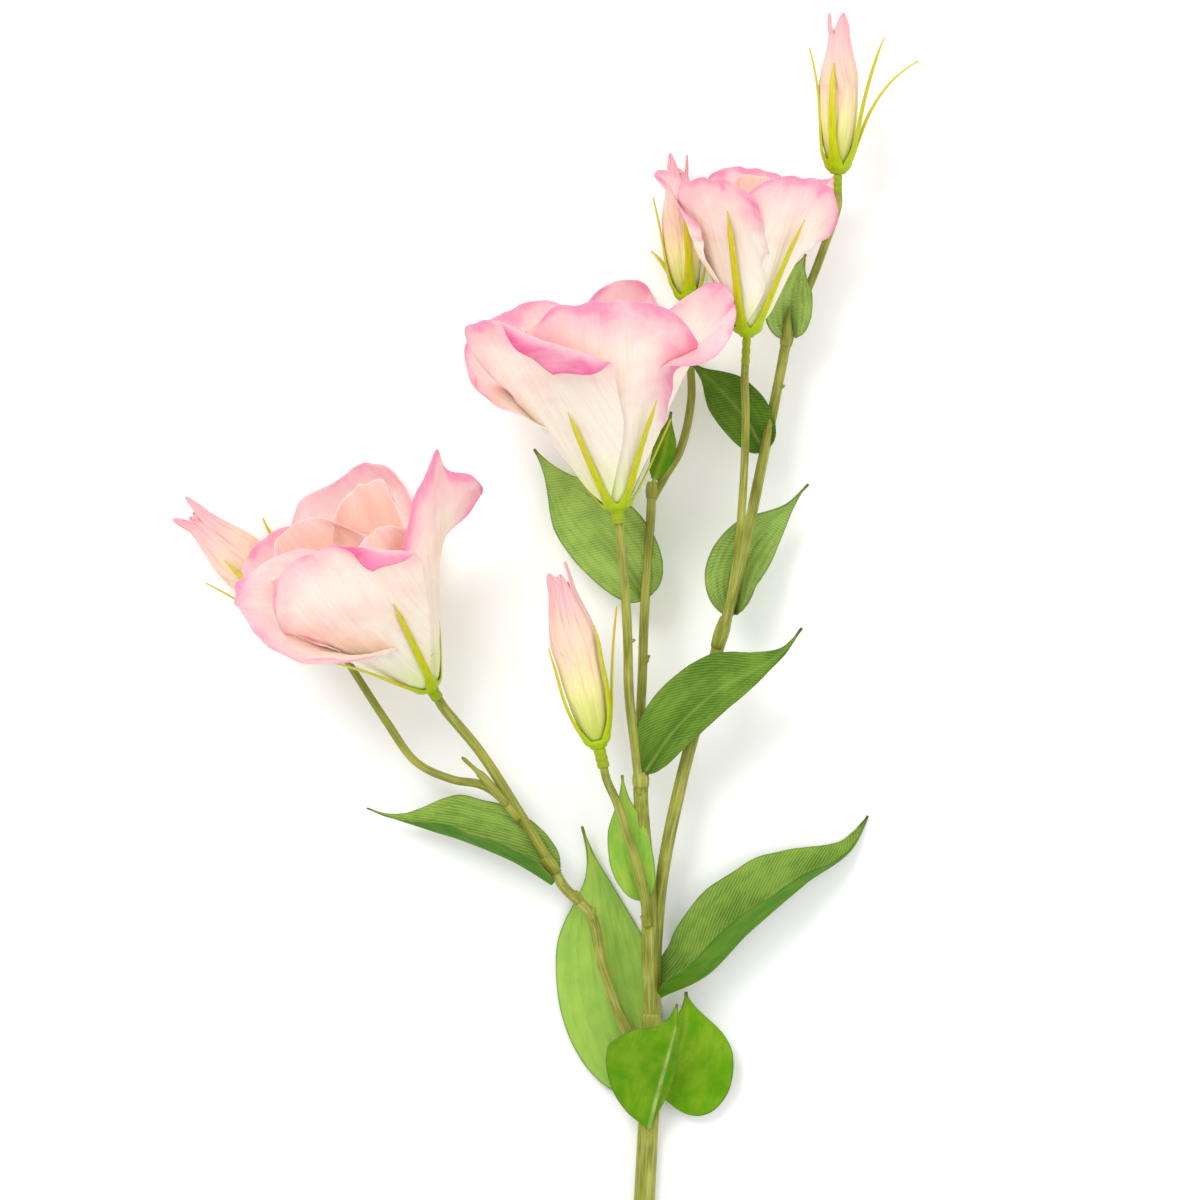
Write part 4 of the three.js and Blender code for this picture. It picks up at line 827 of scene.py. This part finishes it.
def bud_body(shape, bud, number):
    """The closed petals of a bud, wrapped round each other."""
    axes = Axes(bud)
    line = body_line(bud)
    shut = BUD["shut"] * bud["length"]
    angles = turns(108)
    out, _ = axes.around(angles)
    pleat = ripple(np.radians(angles), number, 4, 5) * 0.018 + cos_d(angles * 3) * 0.02
    share = column(np.linspace(0, 1, 70))
    radius, height, _ = line(share * shut)
    phase = (BUD["seams"] * (angles + BUD["twist"] * share) / 360) % 1
    seam = np.where(phase < 0.94, phase / 0.94, (1 - phase) / 0.06) - 0.5
    uneven = BUD["seam"] * seam * smooth(share, 0.12, 0.35) + pleat * smooth(share, 0.1, 0.4)
    less, up = np.array(BUD["end"]).T
    closing = axes.at(radius[-1] * column(less), height[-1] + column(up), out)
    rings = np.concatenate([axes.at(radius * (1 + uneven), height, out), closing])
    share = np.append(share, np.ones(len(less)))
    tube(shape, rings, along=share * shut, height=share, seed=number)


def bud_flap(bud, flap, number, i):
    """The surface of one petal's tip, which comes out of the bud's body and goes on past its end."""
    axes = Axes(bud)
    length = bud["length"]
    body_radius, body_height, _ = body_line(bud)(np.linspace(0.4 * length, BUD["shut"] * length, 40))
    first, last = float(body_height[0]), body_height[-1]
    reach = length - 4 + flap["length"] - first
    tip_out, _ = axes.around(flap["at"])

    def surface(u, v):
        height = first + reach * v
        past = np.maximum(height - last, 0)
        close = np.interp(height, body_height, body_radius)
        close = close * lerp(flap["keep"], 1, 1 - smooth(past, 0, 9))
        wrap = flap["wrap"] * (1 - np.clip(v, 0, 1) ** (2.2 * flap["late"])) ** 0.75 + 5
        wrap = wrap * lerp(0.5, 1, smooth(v, 0, 0.5))
        crumple = ripple(u * 4 + 5 * v, number * 7 + i, 3, 1.3) * smooth(v, 0.5, 1)
        sunk = 1.5 * (1 - smooth(v, 0, 0.45)) + 0.5 * np.abs(u) ** 3 * (1 - smooth(v, 0.4, 0.75))
        radius = close + 0.45 + 0.2 * (i % 2) + 0.3 * crumple - sunk
        around, _ = axes.around(flap["at"] + wrap * u + BUD["twist"] * 0.25 * (v - 1))
        return axes.at(radius, height, around) + times(past * sin_d(flap["lean"]) * 1.6, tip_out)

    def values(u, v):
        along = first + reach * v
        turn = (flap["at"] + flap["wrap"] * u) / 360
        return dict(along=along, height=along / length, turn=turn % 1, seed=number)

    return surface, values


def bud_petals(name, bud, number):
    shape = Shape()
    bud_body(shape, bud, number)
    for i, flap in enumerate(FLAPS[name]):
        surface, values = bud_flap(bud, {**FLAP, **flap}, number, i)
        sheet(shape, surface, np.linspace(-1, 1, 25), np.linspace(0, 1, 56), CLOTH_PETAL, values)
    shape.build(f"{name}_bud_petals", f"bud_{name}_petals", "bud")


# ---------------- leaves


def leaf_surface(name, leaf, midrib, number):
    """A leaf folded along its midrib. The upper side is inside the fold."""
    belly, taper = leaf.get("belly", 0.6), leaf.get("taper", 0.6)
    peak = (belly / (belly + 1)) ** belly / (belly + 1)
    largest = max(leaf["width"])
    look = {**LEAF_LOOK, **LEAF_LOOKS.get(name, {})}

    def half_width(u, v):
        shape = v**belly * (1 - v) / peak * (1 - taper * smooth(v, 0.55, 0.95))
        return np.maximum(np.where(u < 0, *leaf["width"]) * shape, lerp(LEAF["root"], LEAF["tip"], v))

    def vein(u, v):
        """How near a side vein runs, from 0 to 1. The veins arch from the root to the tip."""
        bent = np.abs(u) + 0.03 * ripple(v * 5 + 2 * np.sign(u), number + 60, 3, 1.2)
        near = sum(bell((bent - at) * largest, 0.5) for at in (0.3, 0.56, 0.8))
        return near * smooth(v, 0.0, 0.1) * (1 - smooth(v, 0.6, 0.9))

    def surface(u, v):
        centre, ahead = midrib.even(v)
        up = unit(SKY - ahead * ahead[..., 2:3])
        left = np.cross(up, ahead)
        turn = lerp(*leaf["turn"], v)
        face = cos_d(turn)[..., None] * up + sin_d(turn)[..., None] * left
        fold = lerp(*leaf["fold"], v)
        half = half_width(u, v) * np.abs(u)
        x = np.sign(u) * half
        raised = (np.sqrt(half * half + 0.6) - math.sqrt(0.6)) * sin_d(fold)
        raised = raised - RELIEF["groove"] * bell(x, 0.9) * (1 - v) ** 0.5 - RELIEF["vein"] * vein(u, v)
        waves = RELIEF["wave"] * largest * ripple(v * 10 + 3 * np.sign(u), number, 4, 1.1)
        raised = raised + waves * smooth(np.abs(u), 0.5, 1)
        raised = raised + RELIEF["uneven"] * ripple(x * 0.5 + v * 7, number + 40, 4, 1.6)
        place = centre - times(LEAF["lobe"] * half * (1 - v) ** 4, ahead)
        return place + times(x * cos_d(fold), np.cross(ahead, face)) + times(raised, face)

    def values(u, v):
        half = half_width(u, v)
        x, y = u * half, v * midrib.length
        cos, sin = cos_d(look["grain"]), sin_d(look["grain"])
        return dict(
            across=x, along=y, height=v, rib=bell(x, 0.75) * (1 - 0.7 * v), vein=vein(u, v),
            margin=(1 - np.abs(u)) * half, seed=number, tone=look["tone"], under=look["under"],
            rows=y * cos + x * sin, columns=x * cos - y * sin,
        )

    return surface, values


def leaf_spine(shape, spine, midrib, number):
    """A moulded midrib that stands on the cloth. It may start a little way back of the leaf."""
    share = np.linspace(-spine["back"] / midrib.length, spine["reach"], 40)
    centre, ahead = midrib.even(np.maximum(share, 0))
    centre = centre + times(np.minimum(share, 0) * midrib.length, ahead)
    side = unit(np.cross(ahead, SKY))
    up = np.cross(side, ahead)
    wide = 0.75 * np.sqrt(1 - np.clip(share / spine["reach"], 0, 1) ** 1.5 * 0.9)
    rings = hoops(centre + spine["lift"] * up, side, up, column(wide), turns(12))
    tube(shape, rings, along=share * midrib.length, height=share, spine=1.0, seed=number)


def leaf_blade(name, leaf, number):
    midrib = Curve(leaf["midrib"])
    surface, values = leaf_surface(name, leaf, midrib, number)
    shape = Shape()
    half = np.linspace(0, 1, 23) ** 1.15
    across = np.concatenate([-half[:0:-1], half])
    sheet(shape, surface, across, np.linspace(0, 1, 110) ** 0.92, CLOTH_LEAF, values)
    if name in SPINES:
        leaf_spine(shape, SPINES[name], midrib, number)
    shape.build(f"{name}_leaf_cloth", f"leaf_{name}", "leaf")


# ---------------- stems


def limb(shape, number, path, radius, to=None):
    """A moulded stem along a path, with soft ridges. It ends in a calyx, or is rounded at its ends."""
    points = [np.array(p, float) for p in path]
    collar = len(points) == 2 and radius[0] >= 2
    if to is not None:
        points += [neck_end(to, 5), neck_end(to)]
    curve = Curve(points)
    share = np.linspace(0, 1, max(8, int(curve.length / 1.2)))
    centre, ahead = curve.paced(share)
    side = unit(np.cross(ahead, SKY))
    up = np.cross(side, ahead)
    wide = lerp(*radius, share)
    if collar:
        wide = wide * (0.8 + 0.18 * np.sin(np.pi * np.clip(share, 0.02, 0.98)) ** 0.8)
    elif to is None:
        from_end = np.minimum(share, 1 - share) * curve.length
        wide = wide * np.sqrt(np.clip(0.35 + from_end / 1.2, 0, 1))
    if to is None and radius[1] <= 1.1:
        wide = wide * (1 - 0.4 * smooth(share, 0.58, 0.68))
    knots = STEM["knot"] * ripple(share * curve.length / 9, number, 5, 1.0)
    angles = turns(40)
    drift = column(50 * np.sin(2.2 * share + number)) + angles
    ridge = column(1 + knots) + STEM["ridge"] * np.abs(cos_d(2.5 * drift)) ** 0.6 - STEM["less"]
    ridge = ridge + STEM["line"] * cos_d(7 * angles + column(30 * np.sin(5 * share)))
    rings = hoops(centre, side, up, column(wide) * ridge, angles)
    tube(shape, rings, along=share * curve.length, seed=number)


def stem(name, limbs, number):
    shape = Shape()
    for i, row in enumerate(limbs):
        limb(shape, 10 * number + i, *row)
    for place, way, radius in SPURS.get(name, ()):
        blob(shape, np.array(place), way, radius, 2.0, seed=number)
    shape.build(f"{name}_moulded", name, "stem")


# ---------------- materials


def colour(text):
    """A linear colour from six hexadecimal digits."""
    parts = [int(text[i : i + 2], 16) / 255 for i in (0, 2, 4)]
    return [((c + 0.055) / 1.055) ** 2.4 if c > 0.04045 else c / 12.92 for c in parts] + [1.0]


class Wire:
    """A value in a material's nodes. Adding to it or multiplying it adds a node."""

    def __init__(self, look, socket):
        self.look = look
        self.socket = socket

    def __add__(self, other):
        return self.look.maths("ADD", self, other)

    def __sub__(self, other):
        return self.look.maths("SUBTRACT", self, other)

    def __mul__(self, other):
        return self.look.maths("MULTIPLY", self, other)


class Look:
    """A material, and short ways to add nodes to it. Colours are written as hexadecimal digits."""

    def __init__(self, name, roughness, **settings):
        self.material = bpy.data.materials.new(name)
        self.material.use_nodes = True
        self.tree = self.material.node_tree
        self.shader = self.tree.nodes["Principled BSDF"]
        self.set(Roughness=roughness, **settings)

    def set(self, **settings):
        for name, value in settings.items():
            self.fill(self.shader.inputs[name.replace("_", " ")], value)

    def fill(self, socket, value):
        if isinstance(value, Wire):
            self.tree.links.new(value.socket, socket)
        else:
            socket.default_value = colour(value) if isinstance(value, str) else value

    def node(self, kind, inputs=(), output=0, **settings):
        node = self.tree.nodes.new(kind)
        for key, value in settings.items():
            setattr(node, key, value)
        for key, value in dict(inputs).items():
            self.fill(node.inputs[key], value)
        return Wire(self, node.outputs[output])

    def values(self, *names):
        return [self.node("ShaderNodeAttribute", output="Fac", attribute_name=name) for name in names]

    def maths(self, operation, a, b=0.0):
        return self.node("ShaderNodeMath", {0: a, 1: b}, operation=operation)

    def ease(self, x, low, high, bottom=0.0, top=1.0):
        """Goes smoothly from bottom to top while x goes from low to high."""
        inputs = {0: x, 1: low, 2: high, 3: bottom, 4: top}
        return self.node("ShaderNodeMapRange", inputs, interpolation_type="SMOOTHSTEP")

    def mix(self, share, a, b, kind="MIX"):
        return self.node("ShaderNodeMix", {0: share, 6: a, 7: b}, 2, data_type="RGBA", blend_type=kind)

    def layer(self, tint, over, x, low, high, top=1.0):
        """Puts a colour over another one, up to a share of top, while x goes from low to high."""
        return self.mix(self.ease(x, low, high, 0.0, top), tint, over)

    def shade(self, share, tint, by):
        """Deepens a colour by another one, where share is high."""
        return self.mix(share, tint, self.mix(1.0, tint, by, "MULTIPLY"))

    def noise(self, x, y, z, scale, detail=3.0):
        place = self.node("ShaderNodeCombineXYZ", {0: x, 1: y, 2: z})
        inputs = {"Vector": place, "Scale": scale, "Detail": detail, "Roughness": 0.55}
        return self.node("ShaderNodeTexNoise", inputs, "Fac")

    def bump(self, height, strength, distance, **under):
        """A relief of a height, on top of another one given as Normal."""
        inputs = {"Height": height, "Strength": strength, "Distance": distance, **under}
        return self.node("ShaderNodeBump", inputs, "Normal")

    def finish(self, tint, normal):
        self.set(Base_Color=tint, Normal=normal)
        return self.material


def petal_look():
    look = Look(
        "petal_cloth", 0.72, Sheen_Weight=0.15, Sheen_Roughness=0.5, Specular_IOR_Level=0.2,
        Subsurface_Weight=0.25, Subsurface_Scale=0.004, Subsurface_Radius=(1.0, 0.6, 0.5),
    )
    across, along, seed, height, margin = look.values("across", "along", "seed", "height", "margin")
    inward, rolled = look.values("inner", "rolled")
    streaks = look.noise(across, along * 0.05, seed, 0.9, 4.0)
    fine = look.noise(across * 3.0, along * 0.25, seed, 1.4, 2.0)
    blotch = look.noise(across, along, seed, 0.09, 2.0)
    cloud = look.noise(along, across, seed + 7.0, 0.06)
    wander = (streaks - 0.5) * 6.0 + ((blotch - 0.5) * 18.0 + margin)
    cream = look.layer("e6eca4", "fdf0dc", height, 0.06, 0.36)
    cream = look.layer(cream, "fbe3d6", height, 0.4, 0.85)
    peach = look.ease(cloud, 0.46, 0.7, 0.0, 0.5) * look.ease(height, 0.25, 0.6)
    cream = look.mix(peach, cream, "f8cdbd")
    blush = look.layer("f6b6c0", cream, wander, 1.0, 19.0)
    rim = look.layer("ec86ab", blush, wander, -2.0, 5.0)
    lip = look.layer("e3568f", "f6a3bb", wander, -1.0, 9.0)
    lip = look.layer(lip, "e66a9c", cloud, 0.4, 0.7, 0.5)
    rim = look.mix(rolled, rim, lip)
    inner = look.layer("dfe69a", "fbe0b8", height, 0.1, 0.3)
    inner = look.layer(inner, "fac6b6", height, 0.3, 0.9)
    inner = look.layer("f9cdcf", inner, wander, -3.0, 7.0)
    tint = look.mix(inward, rim, inner)
    tint = look.shade(look.ease(streaks, 0.35, 0.75, 0.0, 0.4), tint, "f8dcd2")
    tint = look.layer(tint, "fffaf4", fine, 0.5, 0.8, 0.14)
    ribs = look.bump(streaks, 0.45, 0.0007)
    return look.finish(tint, look.bump(fine, 0.35, 0.0002, Normal=ribs))


def bud_look():
    look = Look(
        "bud_cloth", 0.7, Sheen_Weight=0.15, Specular_IOR_Level=0.2,
        Subsurface_Weight=0.15, Subsurface_Scale=0.003,
    )
    turn, along, seed, height = look.values("turn", "along", "seed", "height")
    streaks = look.noise(turn * 40.0, along * 0.05, seed, 1.0)
    threads = look.noise(turn * 90.0, along * 0.03, seed, 1.0, 2.0)
    height = (streaks - 0.5) * 0.4 + height
    tint = look.layer("b7c552", "e8e29a", height, 0.02, 0.4)
    tint = look.layer(tint, "f6cfb4", height, 0.28, 0.62)
    tint = look.layer(tint, "f5b4bc", height, 0.55, 1.0)
    tint = look.shade(look.ease(streaks, 0.5, 0.75, 0.0, 0.45), tint, "f0c2b4")
    tint = look.shade(look.ease(threads, 0.55, 0.7, 0.0, 0.4), tint, "dfc69a")
    return look.finish(tint, look.bump(streaks, 0.6, 0.0009))


def weave(look, across, along, pitch):
    """The height of a plain weave, with rows of thread a pitch apart, from 0 to 1."""
    turn = 2 * math.pi / pitch
    rows = look.maths("SINE", (look.maths("ABSOLUTE", across) * 0.16 + along) * turn)
    columns = look.maths("SINE", across * turn)
    return rows * (columns * 0.35 + 0.65) * 0.5 + 0.5


def deeper(look, tint, amount):
    """A green made deeper, or paler where the amount is below 0."""
    tint = look.shade(look.maths("MAXIMUM", amount, 0.0), tint, "8fb06a")
    return look.mix(look.maths("MAXIMUM", amount * -1.0, 0.0), tint, "bcd87a")


def leaf_look():
    look = Look("leaf_cloth", 0.6, Subsurface_Weight=0.05, Subsurface_Scale=0.002, Specular_IOR_Level=0.07)
    across, along, seed, height, face = look.values("across", "along", "seed", "height", "face")
    tone, under, margin = look.values("tone", "under", "margin")
    rib, vein, spine, rows, columns = look.values("rib", "vein", "spine", "rows", "columns")
    threads = weave(look, columns, rows, 0.9)
    blotch = look.noise(across, along, seed, 0.12)
    grain = look.noise(across * 1.2, along * 0.15, seed, 1.0)
    upper = look.layer("5d861b", "83a838", blotch, 0.3, 0.7)
    upper = look.layer(upper, "b8cc80", threads, 0.2, 0.9, 0.4)
    # painted shade: the upper side turns darker green towards the root, where shade falls inside the fold
    upper = look.layer(upper, "3f6418", height, 0.28, 0.0, 0.5)
    lower = look.layer("649f0a", "8db324", blotch, 0.3, 0.7)
    lower = look.layer(lower, "5e9a08", grain, 0.4, 0.8, 0.45)
    tint = look.mix(face, deeper(look, lower, under), deeper(look, upper, tone))
    # a dark green that is the veins' own colour, and is also used below as painted shade beside the midrib
    vein_and_shade_green = look.mix(face, "3f7f0a", "355a10")
    faint = look.ease(grain, 0.35, 0.7, 0.08, 0.4) * (face * 0.4 + 0.6)
    tint = look.mix(vein * faint, tint, vein_and_shade_green)
    # painted shade: a dark band along the midrib groove near the root, where the fold shades it
    near = look.ease(look.maths("ABSOLUTE", across), 0.4, 3.6, 0.6, 0.0)
    tint = look.mix(near * look.ease(height, 0.6, 0.1), tint, vein_and_shade_green)
    tint = look.mix(rib * 0.45, tint, look.mix(face, "b3ac46", "a6be5c"))
    edge = look.layer("4c6c2e", "7f7e34", blotch, 0.45, 0.65)
    tint = look.mix(look.ease(margin, 0.0, 0.8, 0.6, 0.0), tint, edge)
    tint = look.layer(tint, "5c4530", height, 0.95, 0.99, 0.6)
    tint = look.mix(spine, tint, look.layer("749a34", "9cb566", grain, 0.3, 0.7))
    cloth = look.bump(threads * (face * 0.85 + 0.15), 0.7, 0.0003)
    return look.finish(tint, look.bump(grain, 0.3, 0.0004, Normal=cloth))


def calyx_look():
    look = Look(
        "calyx_moulded", 0.36, Coat_Weight=0.06, Specular_IOR_Level=0.14,
        Subsurface_Weight=0.1, Subsurface_Scale=0.002,
    )
    along, height, turn, sepal = look.values("along", "height", "turn", "sepal")
    grain = look.noise(turn * 9.0, along * 0.2, 0.0, 1.2)
    cup = look.layer("90a01c", "a5bf08", along, -5.0, 2.0)
    blade = look.layer("a9bf08", "c3c30e", height, 0.0, 0.35)
    blade = look.layer(blade, "d3c43c", height, 0.3, 1.0)
    tint = look.mix(sepal, cup, blade)
    tint = look.layer(tint, "7f9a0a", grain, 0.4, 0.75, 0.4)
    return look.finish(tint, look.bump(grain, 0.4, 0.0005))


def stem_look():
    look = Look(
        "stem_moulded", 0.45, Coat_Weight=0.05, Specular_IOR_Level=0.14,
        Subsurface_Weight=0.05, Subsurface_Scale=0.002,
    )
    along, turn, seed = look.values("along", "turn", "seed")
    grain = look.noise(turn * 16.0, along * 0.1, seed, 1.0, 4.0)
    lines = look.noise(turn * 34.0, along * 0.05, seed, 1.0, 2.0)
    patch = look.noise(turn, along * 0.08, seed, 1.0, 2.0)
    tint = look.layer("797e26", "9da040", patch, 0.3, 0.7)
    # painted highlights and painted shadow lines: the light and dark streaks below stand in for light and
    # shade on the stem's ridges
    tint = look.layer(tint, "b9b870", grain, 0.45, 0.75, 0.6)
    tint = look.layer(tint, "666a1c", grain, 0.5, 0.25, 0.5)
    tint = look.layer(tint, "ccc98e", lines, 0.58, 0.68, 0.45)
    tint = look.layer(tint, "6a6c2c", lines, 0.42, 0.32, 0.45)
    return look.finish(tint, look.bump(lines, 0.4, 0.0004, Normal=look.bump(grain, 0.6, 0.0006)))


def pistil_look():
    look = Look("pistil_moulded", 0.6, Subsurface_Weight=0.1, Subsurface_Scale=0.002)
    place = look.node("ShaderNodeTexCoord", output="Object")
    grain = look.node(
        "ShaderNodeTexNoise", {"Vector": place, "Scale": 900.0, "Detail": 3.0, "Roughness": 0.55}, "Fac"
    )
    tint = look.mix(*look.values("height"), "c9cf68", "e3b94a")
    tint = look.layer(tint, "f2e59a", grain, 0.4, 0.7, 0.5)
    return look.finish(tint, look.bump(grain, 0.6, 0.0003))


MATERIALS = {
    "petal": petal_look(),
    "bud": bud_look(),
    "leaf": leaf_look(),
    "calyx": calyx_look(),
    "stem": stem_look(),
    "pistil": pistil_look(),
}

# ---------------- the spray

for number, (name, limbs) in enumerate(STEMS.items()):
    stem(name, limbs, number)
for number, (name, leaf) in enumerate(LEAVES.items()):
    leaf_blade(name, leaf, number)
for number, (name, bloom) in enumerate(BLOOMS.items()):
    bloom_petals(name, bloom, number)
    calyx(f"{name}_bloom", bloom, f"bloom_{name}_calyx")
    pistil(name, bloom)
for number, (name, bud) in enumerate(BUDS.items()):
    bud_petals(name, bud, number)
    calyx(f"{name}_bud", bud, f"bud_{name}_calyx")

# ---------------- the studio, in metres

FLOOR = dict(half=4.0, drop=0.0002)  # the floor lies a little under the spray
VIEW = dict(width=0.396, distance=2.0, sensor=36)  # this width of the spray fills the frame


def floor():
    half, z = FLOOR["half"], -FLOOR["drop"]
    mesh = bpy.data.meshes.new("floor")
    corners = [(-half, -half, z), (half, -half, z), (half, half, z), (-half, half, z)]
    mesh.from_pydata(corners, [], [(0, 1, 2, 3)])
    mesh.materials.append(Look("pale_floor", 0.9, Base_Color="ffffff", Specular_IOR_Level=0.0).material)
    stand("floor", mesh)


def area_light(name, place, size, power):
    """A round lamp that points at the middle of the spray."""
    light = bpy.data.lights.new(name, "AREA")
    light.shape = "DISK"
    light.size = size
    light.energy = power
    lamp = stand(name, light)
    lamp.location = place
    lamp.rotation_euler = (-Vector(place)).to_track_quat("-Z", "Y").to_euler()


def world_light(strength):
    world = bpy.data.worlds.new("studio")
    world.use_nodes = True
    background = world.node_tree.nodes["Background"].inputs
    background["Color"].default_value = (1, 1, 1, 1)
    background["Strength"].default_value = strength
    bpy.context.scene.world = world


def camera(place):
    """A camera that looks straight down."""
    data = bpy.data.cameras.new("camera")
    data.sensor_width = VIEW["sensor"]
    data.lens = VIEW["sensor"] * VIEW["distance"] / VIEW["width"]
    data.clip_start = 0.05
    data.clip_end = 20
    eye = stand("camera", data)
    eye.location = place
    bpy.context.scene.camera = eye


floor()
world_light(0.95)
area_light("key", (-0.7, 1.0, 1.7), 0.9, 18)
area_light("fill", (1.3, -0.5, 1.4), 1.6, 5)
camera((0.0185, 0.0338, 2.035))
bpy.context.scene.view_settings.view_transform = "Standard"
